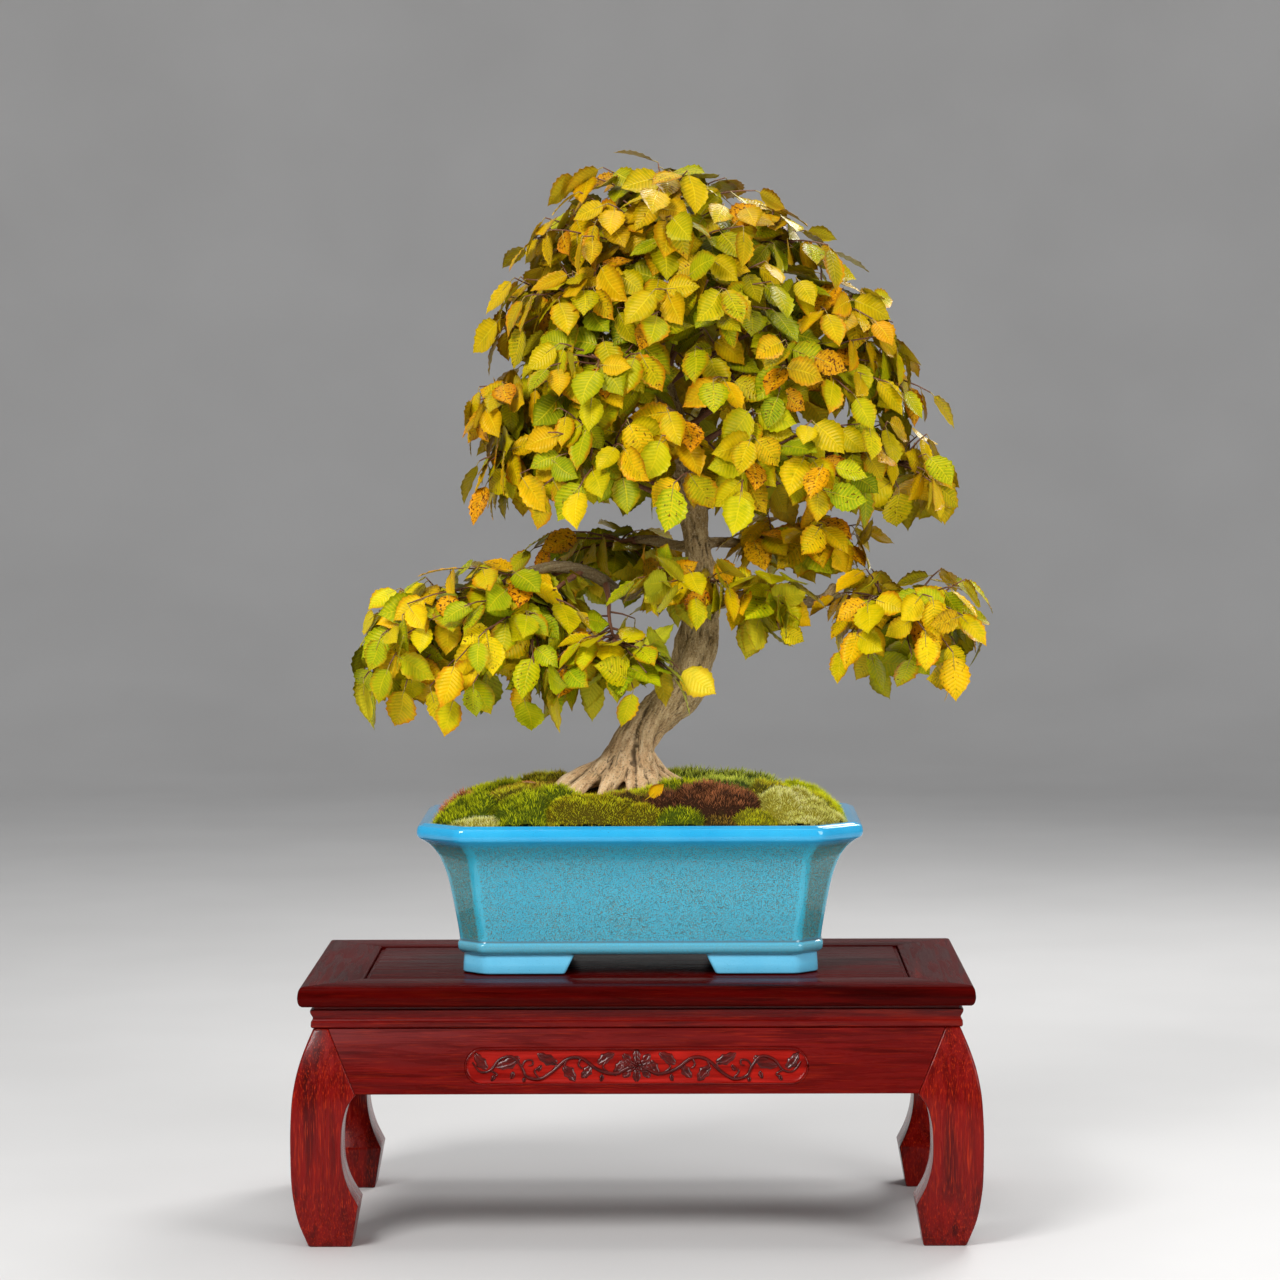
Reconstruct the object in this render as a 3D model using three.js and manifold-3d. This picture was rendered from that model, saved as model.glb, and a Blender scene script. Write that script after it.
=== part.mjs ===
// A Korean hornbeam bonsai in autumn leaf, in its glazed pot on a lacquered wooden stand.
// Millimetres, +Z up, +X to the viewer's right, the front faces -Y. All heights are above the floor.
// The construction frame has its origin under the middle of the stand. The finished group is moved
// so that the middle of the whole object's footprint is the origin.

import * as THREE from 'three';
import { mergeGeometries, mergeVertices } from 'three/addons/utils/BufferGeometryUtils.js';
import Module from 'manifold-3d';

const wasm = await Module();
wasm.setup();

// Driving dimensions

const GAP = 0.3; // between pieces that touch

const STAND = {
  halfWidth: 262, // outermost point of the rounded top edge
  halfDepth: 142,
  topHeight: 204,
  slab: 16, // thickness of the top
  frame: 48, // width of a top rail, from its outermost point
  panelGap: 0.6,
  apronBottom: 121,
  apronThickness: 11,
};

// Outer and inner edge of a leg: inset from the top's outermost point, height
const LEG_OUTER = [[11.3, 170.4], [5.6, 157], [0.4, 142], [-3.5, 124.5], [-5.8, 97], [-6, 73],
  [-4.6, 42], [-0.8, 21], [6.5, 0]];
const LEG_INNER = [[40, 0], [43.4, 19.5], [46, 34], [39, 47.8], [34.8, 62], [33.4, 83], [35.3, 101.7],
  [38.6, 112], [44.7, 120.6]];
const SHOULDER_TOP = [22.8, 170.4]; // where the seam between leg and apron meets the waist

const VINE_STEPS = 16;
const CARTOUCHE = { halfLength: 130, halfHeight: 13, height: 144, depth: 3, relief: 2.4 };

const POT = {
  centreX: 2.5,
  lessDeep: 64.5, // half-depth is this much less than half-width
  footHalfWidth: 141.5,
  footWall: 13,
  footOpening: 107, // between the feet at the front and the back
  footOpeningSide: 56,
  wall: 8,
  floor: 233, // top of the pot's floor
  holeRadius: 11,
  holeX: 62,
};

// The pot's outer surface from its floor up: half-width, height, length of the corner cut
const POT_PROFILE = [[142, 220.2, 18], [144.2, 223, 18], [144.5, 227.5, 18], [142.9, 229.6, 18],
  [144.4, 240, 19], [147.6, 258, 20], [151.2, 276, 22], [154.8, 288, 24], [159.4, 298, 27.5],
  [165, 305.5, 30], [171, 310.2, 32.5], [174.8, 313, 33.5], [175.8, 317, 33.5], [174.6, 321.8, 33],
  [171.6, 323.2, 32]];
const LIP_WIDTH = 9; // flat top of the lip
const CAVITY_HEIGHTS = [POT.floor, 262, 284, 299, 308];

const SOIL = { edge: 319, crown: 345, power: 3, flat: 4 };

const MOSS = [
  // name, centre x and y, thickness in the middle
  ['moss_green_left', -112, -52, 15],
  ['moss_olive_front', -28, -66, 13],
  ['moss_brown_right', 62, -58, 14],
  ['moss_pale_right', 126, -40, 15],
  ['moss_green_back_right', 78, 46, 12],
  ['moss_green_back_left', -70, 44, 12],
];
const MOSS_SIDES = 13;
const MOSS_GROOVE = 1.6; // between neighbouring cushions

// Centre line and radius of the trunk
const TRUNK = [
  [-7, 2, 316, 15], [-7.5, 1, 338, 27], [-7, 0, 352, 25], [-5.5, 0, 362, 21.5], [-4.3, 1, 372, 19],
  [0.8, 2, 383.3, 16.8], [8.6, 3, 394.5, 16.3], [21, 5, 405.8, 16.6], [34.5, 7, 419.3, 17],
  [41, 8, 432, 17], [44.5, 7, 448, 17], [47.5, 5, 463, 16.6], [50, 4, 480, 15.2], [51.8, 2, 498, 13.6],
  [50.2, 0, 525, 10.5], [47.8, 0, 544, 10.2], [45.5, 0, 562, 12], [43.1, -1, 581, 13],
  [40, -2, 600, 12], [33.7, -4, 624, 10.6], [25.8, -6, 656, 9], [17.9, -8, 688, 7.8],
  [15.6, -9, 712, 6.8], [17.4, -10, 744, 5.4], [21.5, -10, 775, 4], [25, -10, 800, 2.6]];
const TRUNK_SIDES = 12;

// Surface roots and limbs that belong to the trunk: rows of x, y, height and radius
const ROOTS = [
  [[-6, -1, 380, 11], [-28, -5, 363, 9.5], [-45, -8, 357, 7.5], [-60, -11, 348, 5.4], [-73, -13, 334, 3.6]],
  [[-6, -7, 378, 10], [-32, -15, 356, 8.5], [-50, -21, 345, 6], [-62, -25, 332, 3.6]],
  [[-6, -10, 372, 10], [-20, -26, 351, 7.5], [-30, -42, 336, 4.4]],
  [[0, -8, 372, 9], [4, -26, 350, 6.5], [8, -40, 336, 4]],
  [[2, -2, 374, 11], [20, -4, 356, 8], [36, -6, 347, 5.6], [50, -8, 334, 3.6]],
  [[-4, 6, 372, 10], [-12, 26, 352, 7.5], [-18, 42, 336, 4.2]],
  [[2, 6, 370, 9], [20, 22, 350, 7], [31, 35, 335, 4]],
];
const LIMBS = {
  left: [[44, 4, 499, 8.5], [26, 8, 503, 6.6], [7.5, 14, 505.5, 5.6], [-8.7, 10, 499.5, 5.4],
    [-23.8, 4, 509.5, 5.2], [-42, 0, 519, 5], [-69, -8, 523, 4.6], [-104, -14, 513, 4]],
  right: [[50, 2, 494, 8], [69, -2, 495, 6.2], [99, -6, 492.6, 5.4], [132, -10, 494, 5.2],
    [168, -16, 497, 4.2]],
  rightKnob: [[148, -13, 495, 4.2], [156, -14, 503, 4.8], [159, -14, 509, 4]],
  backLeft: [[46, 2, 538, 6], [33.4, 14, 539, 4.6], [14, 26, 543, 4], [0, 38, 543, 3.6]],
  rightUpper: [[46, 0, 541, 6], [66, 3, 542, 4.4], [84, 5, 541, 4]],
};

// A cloud is the rounded space that a group of branches fills with leaf, out to its leaf tips.
// reach: left, right, front, back, up, down from the centre. taper: how it closes towards its top.
const CLOUDS = {
  crown: { centre: [22, -4, 584], reach: [177, 249, 134, 142, 284, 40], taper: [0.7, 1.12, 0.75, 0.8] },
  lowLeft: { centre: [-128, -14, 450], reach: [118, 112, 92, 88, 102, 74], taper: [1.5, 0.8, 0.8, 0.8] },
  lowLeftFront: { centre: [-14, -72, 446], reach: [76, 74, 46, 44, 44, 40], taper: [0.8, 0.8, 0.8, 0.8] },
  lowRight: { centre: [216, -20, 476], reach: [80, 86, 78, 74, 70, 74], taper: [0.9, 1.1, 0.9, 0.9] },
  lowRightFront: { centre: [108, -50, 498], reach: [46, 44, 36, 34, 40, 52], taper: [0.8, 0.8, 0.8, 0.8] },
  middleFront: { centre: [38, -64, 514], reach: [56, 54, 34, 28, 30, 34], taper: [0.8, 0.8, 0.8, 0.8] },
  middleRight: { centre: [134, 6, 548], reach: [70, 70, 60, 60, 40, 44], taper: [0.8, 0.8, 0.8, 0.8] },
  middleLeft: { centre: [-26, 66, 532], reach: [80, 76, 40, 56, 44, 66], taper: [0.8, 0.8, 0.8, 0.8] },
};

// One leafy branch each: name, cloud, azimuth and its half-range, elevation and its half-range (degrees),
// then where it leaves the wood: a height on the trunk, or a limb and a place along it from 0 to 1.
const BRANCHES = [
  ['crown_a_right', 'crown', -6, 26, 5, 9, 566],
  ['crown_a_back_right', 'crown', 44, 26, 6, 8, 572],
  ['crown_a_back', 'crown', 98, 28, 8, 8, 560],
  ['crown_a_back_left', 'crown', 152, 27, 8, 7, 575],
  ['crown_a_left', 'crown', 198, 24, 7, 6, 568],
  ['crown_a_front_left', 'crown', 244, 25, 8, 8, 583],
  ['crown_a_front_right', 'crown', 300, 31, 7, 9, 590],
  ['crown_b_right', 'crown', 14, 28, 24, 8, 612],
  ['crown_b_back', 'crown', 74, 31, 24, 8, 606],
  ['crown_b_back_left', 'crown', 134, 29, 23, 8, 618],
  ['crown_b_left', 'crown', 188, 27, 17, 4, 625],
  ['crown_b_front', 'crown', 246, 30, 24, 8, 634],
  ['crown_b_front_right', 'crown', 312, 35, 24, 8, 628],
  ['crown_c_right', 'crown', -8, 40, 39, 9, 668],
  ['crown_c_back', 'crown', 78, 44, 39, 9, 660],
  ['crown_c_left', 'crown', 160, 38, 36, 8, 675],
  ['crown_c_front_left', 'crown', 226, 30, 38, 9, 684],
  ['crown_c_front', 'crown', 282, 32, 39, 9, 672],
  ['crown_d_right', 'crown', 10, 62, 57, 10, 724],
  ['crown_d_left', 'crown', 152, 70, 56, 10, 732],
  ['crown_d_front', 'crown', 266, 60, 57, 10, 740],
  ['crown_top', 'crown', 90, 180, 78, 12, 788],
  ['low_left_outer', 'lowLeft', 190, 56, 16, 50, 'left', 1],
  ['low_left_back', 'lowLeft', 80, 66, 24, 46, 'left', 0.8],
  ['low_left_front', 'lowLeft', 292, 64, 18, 54, 'left', 0.72],
  ['low_left_inner', 'lowLeftFront', 270, 180, 15, 65, 'left', 0.58],
  ['low_right_outer', 'lowRight', 0, 180, 15, 55, 'right', 1],
  ['low_right_front', 'lowRightFront', 270, 180, 15, 60, 'right', 0.5],
  ['middle_front', 'middleFront', 270, 180, 15, 60, 'right', 0.12],
  ['middle_right', 'middleRight', 0, 180, 15, 60, 'rightUpper', 1],
  ['middle_left', 'middleLeft', 100, 180, 15, 60, 'backLeft', 1],
];

const STEM = { radius: 2.5, tip: 1.2, stub: 7, steps: 3, sides: 5, arch: 0.1, sway: 0.25, depth: 40 };
const TWIG = { root: 1.1, tip: 0.75, sides: 3, arch: 0.14, depth: [17, 46], firstLeaf: 0.45 };
// How far a crown branch's patch of leaf draws in at its sides and top, and from branch to branch
const TIER = { sides: 10, top: 20, uneven: 14 };
const LEAF = { perTwig: 5, length: 30, halfWidth: 10.2, petiole: 4.5, thickness: 1.1, sag: 0.13,
  attempts: 14 };
const KEPT_TWIGS = 4; // of each stem's twigs, these few are solid here
const KEPT_STEP = 3; // every third one
const KEPT_LEAVES = [[0, 2, 4], [1, 4]]; // and these leaves of each, in turn

const COLOURS = {
  wood: { color: 0x6b1510, roughness: 0.28 },
  panel: { color: 0x4a0f0c, roughness: 0.2 },
  glaze: { color: 0x3f9fc4, roughness: 0.22 },
  screen: { color: 0x1c1c1c, roughness: 0.7 },
  soil: { color: 0x3a2c1e, roughness: 1 },
  mossGreen: { color: 0x6f8a1c, roughness: 1 },
  mossOlive: { color: 0x86892a, roughness: 1 },
  mossBrown: { color: 0x6b4026, roughness: 1 },
  mossPale: { color: 0xa9ae4e, roughness: 1 },
  bark: { color: 0x8f7f68, roughness: 0.95 },
  leaf: { color: 0xc2b01c, roughness: 0.6 },
  leafGreen: { color: 0x97a81f, roughness: 0.6 },
  leafDry: { color: 0xd9a520, roughness: 0.7 },
};

// Numbers, curves and solids

const V = (x, y, z) => new THREE.Vector3(x, y, z);
const rad = THREE.MathUtils.degToRad;
const mix = THREE.MathUtils.lerp;

// A repeatable number from 0 to 1 for a set of whole numbers
function chance(a, b, c, d) {
  let h = (Math.imul(a + 1, 0x9e3779b1) ^ Math.imul(b + 7, 0x85ebca6b)) >>> 0;
  h = (h ^ Math.imul(c + 13, 0xc2b2ae35) ^ Math.imul(d + 29, 0x27d4eb2f)) >>> 0;
  h = Math.imul(h ^ (h >>> 15), 0x2c1b3c6d) >>> 0;
  h = Math.imul(h ^ (h >>> 12), 0x297a2d39) >>> 0;
  return ((h ^ (h >>> 15)) >>> 0) / 4294967296;
}

function solidOf(geometry) {
  const bare = geometry.clone();
  bare.deleteAttribute('normal');
  bare.deleteAttribute('uv');
  const merged = mergeVertices(bare, 1e-4);
  return new wasm.Manifold(new wasm.Mesh({
    numProp: 3,
    vertProperties: new Float32Array(merged.attributes.position.array),
    triVerts: new Uint32Array(merged.index.array),
  }));
}

function geometryOf(solid) {
  const mesh = solid.getMesh();
  const geometry = new THREE.BufferGeometry();
  geometry.setAttribute('position', new THREE.BufferAttribute(mesh.vertProperties, 3));
  geometry.setIndex(new THREE.BufferAttribute(mesh.triVerts, 1));
  return geometry;
}

const biggest = (solid) => solid.decompose().sort((a, b) => b.volume() - a.volume())[0];
const joined = (solids) => wasm.Manifold.union(solids);

// A flat ring of any outline, cut into triangles that face a given way
function capIndex(ring, offset, facing) {
  if (ring.length < 3) return [];
  const normal = V(0, 0, 0);
  ring.forEach((p, k) => normal.add(p.clone().cross(ring[(k + 1) % ring.length])));
  normal.normalize();
  const u = ring[1].clone().sub(ring[0]).normalize();
  const v = normal.clone().cross(u);
  const outline = ring.map((p) => new THREE.Vector2(p.dot(u), p.dot(v)));
  return THREE.ShapeUtils.triangulateShape(outline, []).flatMap(([a, b, c]) => {
    const face = ring[b].clone().sub(ring[a]).cross(ring[c].clone().sub(ring[a]));
    const order = face.dot(facing) > 0 ? [a, b, c] : [a, c, b];
    return order.map((k) => k + offset);
  });
}

function indexed(points, index) {
  const geometry = new THREE.BufferGeometry();
  const numbers = points.flatMap((p) => p.toArray());
  geometry.setAttribute('position', new THREE.Float32BufferAttribute(numbers, 3));
  geometry.setIndex(index);
  return geometry;
}

// A closed skin over rings of points. A ring of one point closes an end to a tip.
function skin(rings) {
  const points = rings.flat();
  const index = [];
  let start = 0;
  for (let i = 0; i + 1 < rings.length; i += 1) {
    const a = rings[i].length;
    const b = rings[i + 1].length;
    const next = start + a;
    for (let k = 0; k < Math.max(a, b); k += 1) {
      const l = (k + 1) % Math.max(a, b);
      if (a > 1) index.push(start + k, start + l, next + (b > 1 ? l : 0));
      if (b > 1) index.push(start + (a > 1 ? k : 0), next + l, next + k);
    }
    start = next;
  }
  const centre = (ring) => ring.reduce((sum, p) => sum.add(p), V(0, 0, 0)).divideScalar(ring.length);
  const last = rings.length - 1;
  const first = centre(rings[0]);
  const final = centre(rings[last]);
  index.push(...capIndex(rings[0], 0, first.clone().sub(centre(rings[1]))));
  const lastStart = points.length - rings[last].length;
  index.push(...capIndex(rings[last], lastStart, final.clone().sub(centre(rings[last - 1]))));
  return indexed(points, index);
}

// A tapering tube along points with a radius each. Its ends may be given a direction to face.
function tubeRings(points, radii, sides, { flute = () => 1, tangents = [] } = {}) {
  const rings = [];
  let side = null;
  points.forEach((point, i) => {
    const before = points[Math.max(i - 1, 0)];
    const after = points[Math.min(i + 1, points.length - 1)];
    const along = (tangents[i] ?? after.clone().sub(before)).clone().normalize();
    if (side === null) side = Math.abs(along.z) < 0.9 ? V(0, 0, 1) : V(1, 0, 0);
    side = side.clone().addScaledVector(along, -side.dot(along)).normalize();
    const cross = along.clone().cross(side);
    rings.push(Array.from({ length: sides }, (_, k) => {
      const turn = (2 * Math.PI * k) / sides;
      const r = radii[i] * flute(turn, i);
      return point.clone().addScaledVector(side, r * Math.cos(turn))
        .addScaledVector(cross, r * Math.sin(turn));
    }));
  });
  return rings;
}

const rowsToTube = (rows, sides, extra = 0, flute = () => 1) => {
  const points = rows.map(([x, y, z]) => V(x, y, z));
  return solidOf(skin(tubeRings(points, rows.map((row) => row[3] + extra), sides, { flute })));
};

// A flat outline pushed along Y, from the front face at yFront to yBack
function plate(outline, yFront, yBack) {
  const size = { depth: yBack - yFront, bevelEnabled: false };
  const geometry = new THREE.ExtrudeGeometry(new THREE.Shape(outline), size);
  geometry.rotateX(Math.PI / 2);
  geometry.translate(0, yBack, 0);
  return solidOf(geometry);
}

const pieces = [];
function piece(name, shape, look) {
  const solid = shape.asOriginal().simplify(0.05);
  const material = new THREE.MeshStandardMaterial({ ...COLOURS[look], metalness: 0 });
  const mesh = new THREE.Mesh(geometryOf(solid), material);
  mesh.name = name;
  pieces.push(mesh);
  return solid;
}

// Stand

const SIDES = [['front', 0], ['right', 90], ['back', 180], ['left', 270]];

// A board along one side of the stand. profile: inset from the outermost edge and height.
// endInset gives how far the board's end stands in from the stand's end at that point.
function sideBoard(profile, sideAngle, endInset) {
  const along = sideAngle % 180 === 0 ? STAND.halfWidth : STAND.halfDepth;
  const away = sideAngle % 180 === 0 ? STAND.halfDepth : STAND.halfWidth;
  const ends = [-1, 1].map((end) => profile.map(([inset, z]) => (
    V(end * (along - endInset(inset, z)), -(away - inset), z))));
  const geometry = skin(ends);
  geometry.rotateZ(rad(sideAngle));
  return solidOf(geometry);
}

// Height of the seam between leg and apron gives its inset
function seamInset(z) {
  const foot = LEG_INNER[LEG_INNER.length - 1];
  return mix(foot[0], SHOULDER_TOP[0], (z - foot[1]) / (SHOULDER_TOP[1] - foot[1]));
}

function outerInset(z) {
  const i = Math.max(LEG_OUTER.findIndex((row) => row[1] <= z), 1);
  const [upper, lower] = [LEG_OUTER[i - 1], LEG_OUTER[i]];
  return mix(lower[0], upper[0], (z - lower[1]) / (upper[1] - lower[1]));
}

function topRails() {
  const top = STAND.topHeight;
  const bottom = top - STAND.slab;
  const edge = [[STAND.frame, top], [4.8, top], [2, top - 2.6], [0.4, top - 6.5], [0, top - 10],
    [0.7, top - 13.6], [2.6, bottom], [STAND.frame, bottom]];
  for (const [side, angle] of SIDES) {
    const mitre = (inset) => inset + GAP / 2;
    piece(`stand_top_rail_${side}`, sideBoard(edge, angle, mitre), 'wood');
  }
  const halfX = STAND.halfWidth - STAND.frame - STAND.panelGap;
  const halfY = STAND.halfDepth - STAND.frame - STAND.panelGap;
  const thick = 10;
  const lip = 3;
  const panel = new THREE.BoxGeometry(2 * (halfX - lip), 2 * (halfY - lip), thick);
  panel.translate(0, 0, top - 0.4 - thick / 2);
  const rim = new THREE.BoxGeometry(2 * halfX, 2 * halfY, thick - 1.2);
  rim.translate(0, 0, top - 1.6 - (thick - 1.2) / 2);
  piece('stand_top_panel', joined([solidOf(panel), solidOf(rim)]), 'panel');
}

function waistStrips() {
  const top = STAND.topHeight - STAND.slab - GAP;
  const bottom = SHOULDER_TOP[1] + GAP;
  const edge = [[24, top], [12, top], [12, top - 2.6], [9, top - 3], [9.6, top - 5.5], [11, top - 8.6],
    [9.6, top - 12], [9.4, bottom + 1], [10.4, bottom], [24, bottom]];
  for (const [side, angle] of SIDES) {
    piece(`stand_waist_${side}`, sideBoard(edge, angle, (inset) => inset + GAP / 2), 'wood');
  }
}

// A leg has the same outline from the front and from the side
function legs() {
  const stock = 80;
  const outline = (half) => [...LEG_OUTER, ...LEG_INNER, SHOULDER_TOP].map(
    ([inset, z]) => new THREE.Vector2(inset - half, z));
  const { halfWidth, halfDepth } = STAND;
  const fromFront = plate(outline(halfWidth), -halfDepth - stock / 4, stock - halfDepth);
  const fromSide = plate(outline(halfDepth), halfWidth - stock, halfWidth + stock / 4).rotate([0, 0, 90]);
  const leg = fromFront.intersect(fromSide);
  piece('stand_leg_front_left', leg, 'wood');
  piece('stand_leg_front_right', leg.mirror([1, 0, 0]), 'wood');
  piece('stand_leg_back_left', leg.mirror([0, 1, 0]), 'wood');
  piece('stand_leg_back_right', leg.mirror([0, 1, 0]).mirror([1, 0, 0]), 'wood');
}

function aprons() {
  const top = SHOULDER_TOP[1] - GAP / 2;
  const heights = [STAND.apronBottom, 129, 159, top];
  const face = heights.map((z) => [outerInset(z), z]);
  const back = heights.map((z) => [outerInset(z) + STAND.apronThickness, z]).reverse();
  const profile = [...face, ...back].reverse();
  for (const [side, angle] of SIDES) {
    const board = sideBoard(profile, angle, (inset, z) => seamInset(z) + GAP);
    piece(`stand_apron_${side}`, side === 'front' ? carved(board) : board, 'wood');
  }
}

// The cartouche: a sunk field with round ends, and a flower scroll left standing in it
function carved(board) {
  const { halfLength, halfHeight, height, depth, relief } = CARTOUCHE;
  const field = [];
  for (const end of [1, -1]) {
    for (let k = 0; k <= 4; k += 1) {
      const turn = rad(-90 + 45 * k);
      field.push(new THREE.Vector2(
        end * (halfLength - halfHeight + halfHeight * Math.cos(turn)),
        height + end * halfHeight * Math.sin(turn)));
    }
  }
  const front = -(STAND.halfDepth + 12);
  const sunk = plate(field, front, front + 60).subtract(board.translate([0, depth, 0]));
  const scroll = joined(scrollOutlines().map((outline) => plate(outline, front, front + 60)));
  const raised = scroll.intersect(board.translate([0, depth - relief, 0]));
  return biggest(board.subtract(sunk).add(raised));
}

// Outlines of the scroll, in the plane of the board, mirrored about the flower
function scrollOutlines() {
  const at = (x, z) => new THREE.Vector2(x, CARTOUCHE.height + z);
  const outlines = [];
  const petals = 7;
  const flower = Array.from({ length: 2 * petals }, (_, k) => {
    const turn = (Math.PI * k) / petals;
    const r = k % 2 === 0 ? 1 : 0.72;
    return at(15.5 * r * Math.cos(turn), 12 * r * Math.sin(turn));
  });
  outlines.push(flower);
  const vine = new THREE.CatmullRomCurve3([V(13, 1, 0), V(28, -8, 0), V(44, -5, 0), V(57, 5, 0),
    V(72, 6, 0), V(84, -4, 0), V(98, -8, 0), V(110, -1, 0), V(104, 4.5, 0)]);
  const leaves = [[24, 4, 9, 4.5, 40], [40, 4, 8, 4, 150], [52, -7, 8.5, 4, -35], [66, -4, 8, 4, 215],
    [82, 6, 9, 4.4, 25], [96, 3, 7, 3.4, 140], [117, -2, 9, 4.4, 60]];
  for (const side of [1, -1]) {
    const ribbon = [1, -1].map((edge) => vine.getSpacedPoints(VINE_STEPS).map((p, i) => {
      const along = vine.getTangentAt(i / VINE_STEPS);
      return at(side * (p.x - edge * 0.9 * along.y), p.y + edge * 0.9 * along.x);
    }));
    outlines.push([...ribbon[0], ...ribbon[1].reverse()]);
    for (const [x, z, long, wide, turn] of leaves) {
      const point = (u, v) => at(
        side * (x + u * Math.cos(rad(turn)) - v * Math.sin(rad(turn))),
        z + u * Math.sin(rad(turn)) + v * Math.cos(rad(turn)));
      outlines.push([point(-long / 2, 0), point(-long / 6, -wide / 2), point(long / 5, -wide / 2.4),
        point(long / 2, 0), point(long / 5, wide / 2.4), point(-long / 6, wide / 2)]);
    }
  }
  return outlines.map((outline) => (THREE.ShapeUtils.isClockWise(outline) ? outline.reverse() : outline));
}


// Pot

// Where a ray at a given angle leaves a rectangle with cut corners
function octagonReach(angle, halfX, halfY, cut) {
  const c = Math.abs(Math.cos(angle));
  const s = Math.abs(Math.sin(angle));
  return Math.min(halfX / Math.max(c, 1e-9), halfY / Math.max(s, 1e-9), (halfX + halfY - cut) / (c + s));
}

function octagon(halfX, cut, z) {
  const halfY = halfX - POT.lessDeep;
  const corners = [[1, -1], [1, 1], [-1, 1], [-1, -1]];
  return corners.flatMap(([sx, sy]) => {
    const onSide = V(POT.centreX + sx * halfX, sy * (halfY - cut), z);
    const onFront = V(POT.centreX + sx * (halfX - cut), sy * halfY, z);
    return sx * sy < 0 ? [onFront, onSide] : [onSide, onFront];
  });
}

// Half-width and corner cut of the pot's outer surface at a height
function potAt(z) {
  const i = Math.max(POT_PROFILE.findIndex((row) => row[1] >= z), 1);
  const [low, high] = [POT_PROFILE[i - 1], POT_PROFILE[i]];
  const t = (z - low[1]) / (high[1] - low[1]);
  return [mix(low[0], high[0], t), mix(low[2], high[2], t)];
}

// The pot's inside, as rows of half-width, height and corner cut
function cavity() {
  const rimTop = POT_PROFILE[POT_PROFILE.length - 1];
  const wall = CAVITY_HEIGHTS.map((z) => {
    const [half, cut] = potAt(z);
    return [half - POT.wall, z, cut - POT.wall * 0.6];
  });
  const mouth = rimTop[0] - LIP_WIDTH;
  return [...wall, [mouth - 1, 319, rimTop[2] - 6], [mouth, rimTop[1] + 1, rimTop[2] - 5.5]];
}

function pot() {
  const outer = solidOf(skin(POT_PROFILE.map(([half, z, cut]) => octagon(half, cut, z))));
  const inner = cavity().map(([half, z, cut]) => octagon(half, cut, z));
  const bottom = STAND.topHeight + GAP;
  const top = POT_PROFILE[0][1];
  const half = POT.footHalfWidth;
  const ring = solidOf(skin([octagon(half - 0.6, 17, bottom), octagon(half - 1.2, 17, top - 4),
    octagon(half - 1.8, 17, top + 2)]));
  const hollow = solidOf(skin([octagon(half - POT.footWall, 11, bottom - 1),
    octagon(half - POT.footWall, 11, top)]));
  const opening = (width) => [[-width / 2 - 6, bottom - 1], [width / 2 + 6, bottom - 1],
    [width / 2 - 2, top], [-width / 2 + 2, top]].map(([x, z]) => new THREE.Vector2(x, z));
  const through = plate(opening(POT.footOpening), -200, 200).translate([POT.centreX, 0, 0]);
  const across = plate(opening(POT.footOpeningSide), -200, 200).rotate([0, 0, 90]);
  const feet = ring.subtract(joined([hollow, through, across]));
  const hole = (side) => solidOf(new THREE.CylinderGeometry(POT.holeRadius, POT.holeRadius, 40, 12)
    .rotateX(Math.PI / 2).translate(POT.centreX + side * POT.holeX, 0, POT.floor));
  const body = outer.subtract(solidOf(skin(inner))).add(feet).subtract(joined([hole(-1), hole(1)]));
  piece('pot', biggest(body), 'glaze');
}

// A square of mesh over each drain hole
function screens() {
  const size = 34;
  const thick = 1.2;
  const bottom = POT.floor + GAP;
  [['left', -1], ['right', 1]].forEach(([name, side]) => {
    const sheet = new THREE.BoxGeometry(size, size, thick);
    sheet.translate(POT.centreX + side * POT.holeX, 0, bottom + thick / 2);
    const holes = [-9, 0, 9].map((y) => solidOf(new THREE.BoxGeometry(26, 5, 9)
      .translate(POT.centreX + side * POT.holeX, y, bottom)));
    piece(`drain_screen_${name}`, solidOf(sheet).subtract(joined(holes)), 'screen');
  });
  const room = size + 2 * GAP;
  const cover = (side) => solidOf(new THREE.BoxGeometry(room, room, 2 * (thick + 2 * GAP))
    .translate(POT.centreX + side * POT.holeX, 0, bottom));
  return joined([cover(-1), cover(1)]);
}

// Soil and moss

// How far a point is towards the pot's inner edge, from 0 in the middle to 1
function towardsEdge(x, y) {
  const halfX = 160;
  const halfY = halfX - POT.lessDeep;
  const u = Math.abs(x - POT.centreX) / halfX;
  const v = Math.abs(y) / halfY;
  return (u ** SOIL.power + v ** SOIL.power) ** (1 / SOIL.power);
}

function soilHeight(x, y) {
  const s = Math.min(towardsEdge(x, y), 1);
  return SOIL.edge + (SOIL.crown - SOIL.edge) * (1 - s ** SOIL.flat);
}

function soil(cover, roots) {
  const around = 16;
  const ring = (half, cut, share, z) => Array.from({ length: around }, (_, k) => {
    const angle = (2 * Math.PI * (k + 0.5)) / around;
    const reach = share * octagonReach(angle, half, half - POT.lessDeep, cut);
    const [x, y] = [POT.centreX + reach * Math.cos(angle), reach * Math.sin(angle)];
    return V(x, y, z ?? soilHeight(x, y));
  });
  const inside = cavity().slice(0, -1);
  const rings = inside.map(([half, z, cut], i) => (
    ring(half - 2 * GAP, cut, 1, i === 0 ? z + GAP : Math.min(z, SOIL.edge - 1))));
  const [half, , cut] = inside[inside.length - 2];
  const mound = [0.98, 0.72, 0.36].map((share) => ring(half, cut, share));
  const ground = solidOf(skin([...rings, ...mound, [V(POT.centreX, 0, SOIL.crown)]]));
  piece('soil', biggest(ground.subtract(cover).subtract(roots)), 'soil');
  return ground;
}

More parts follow.
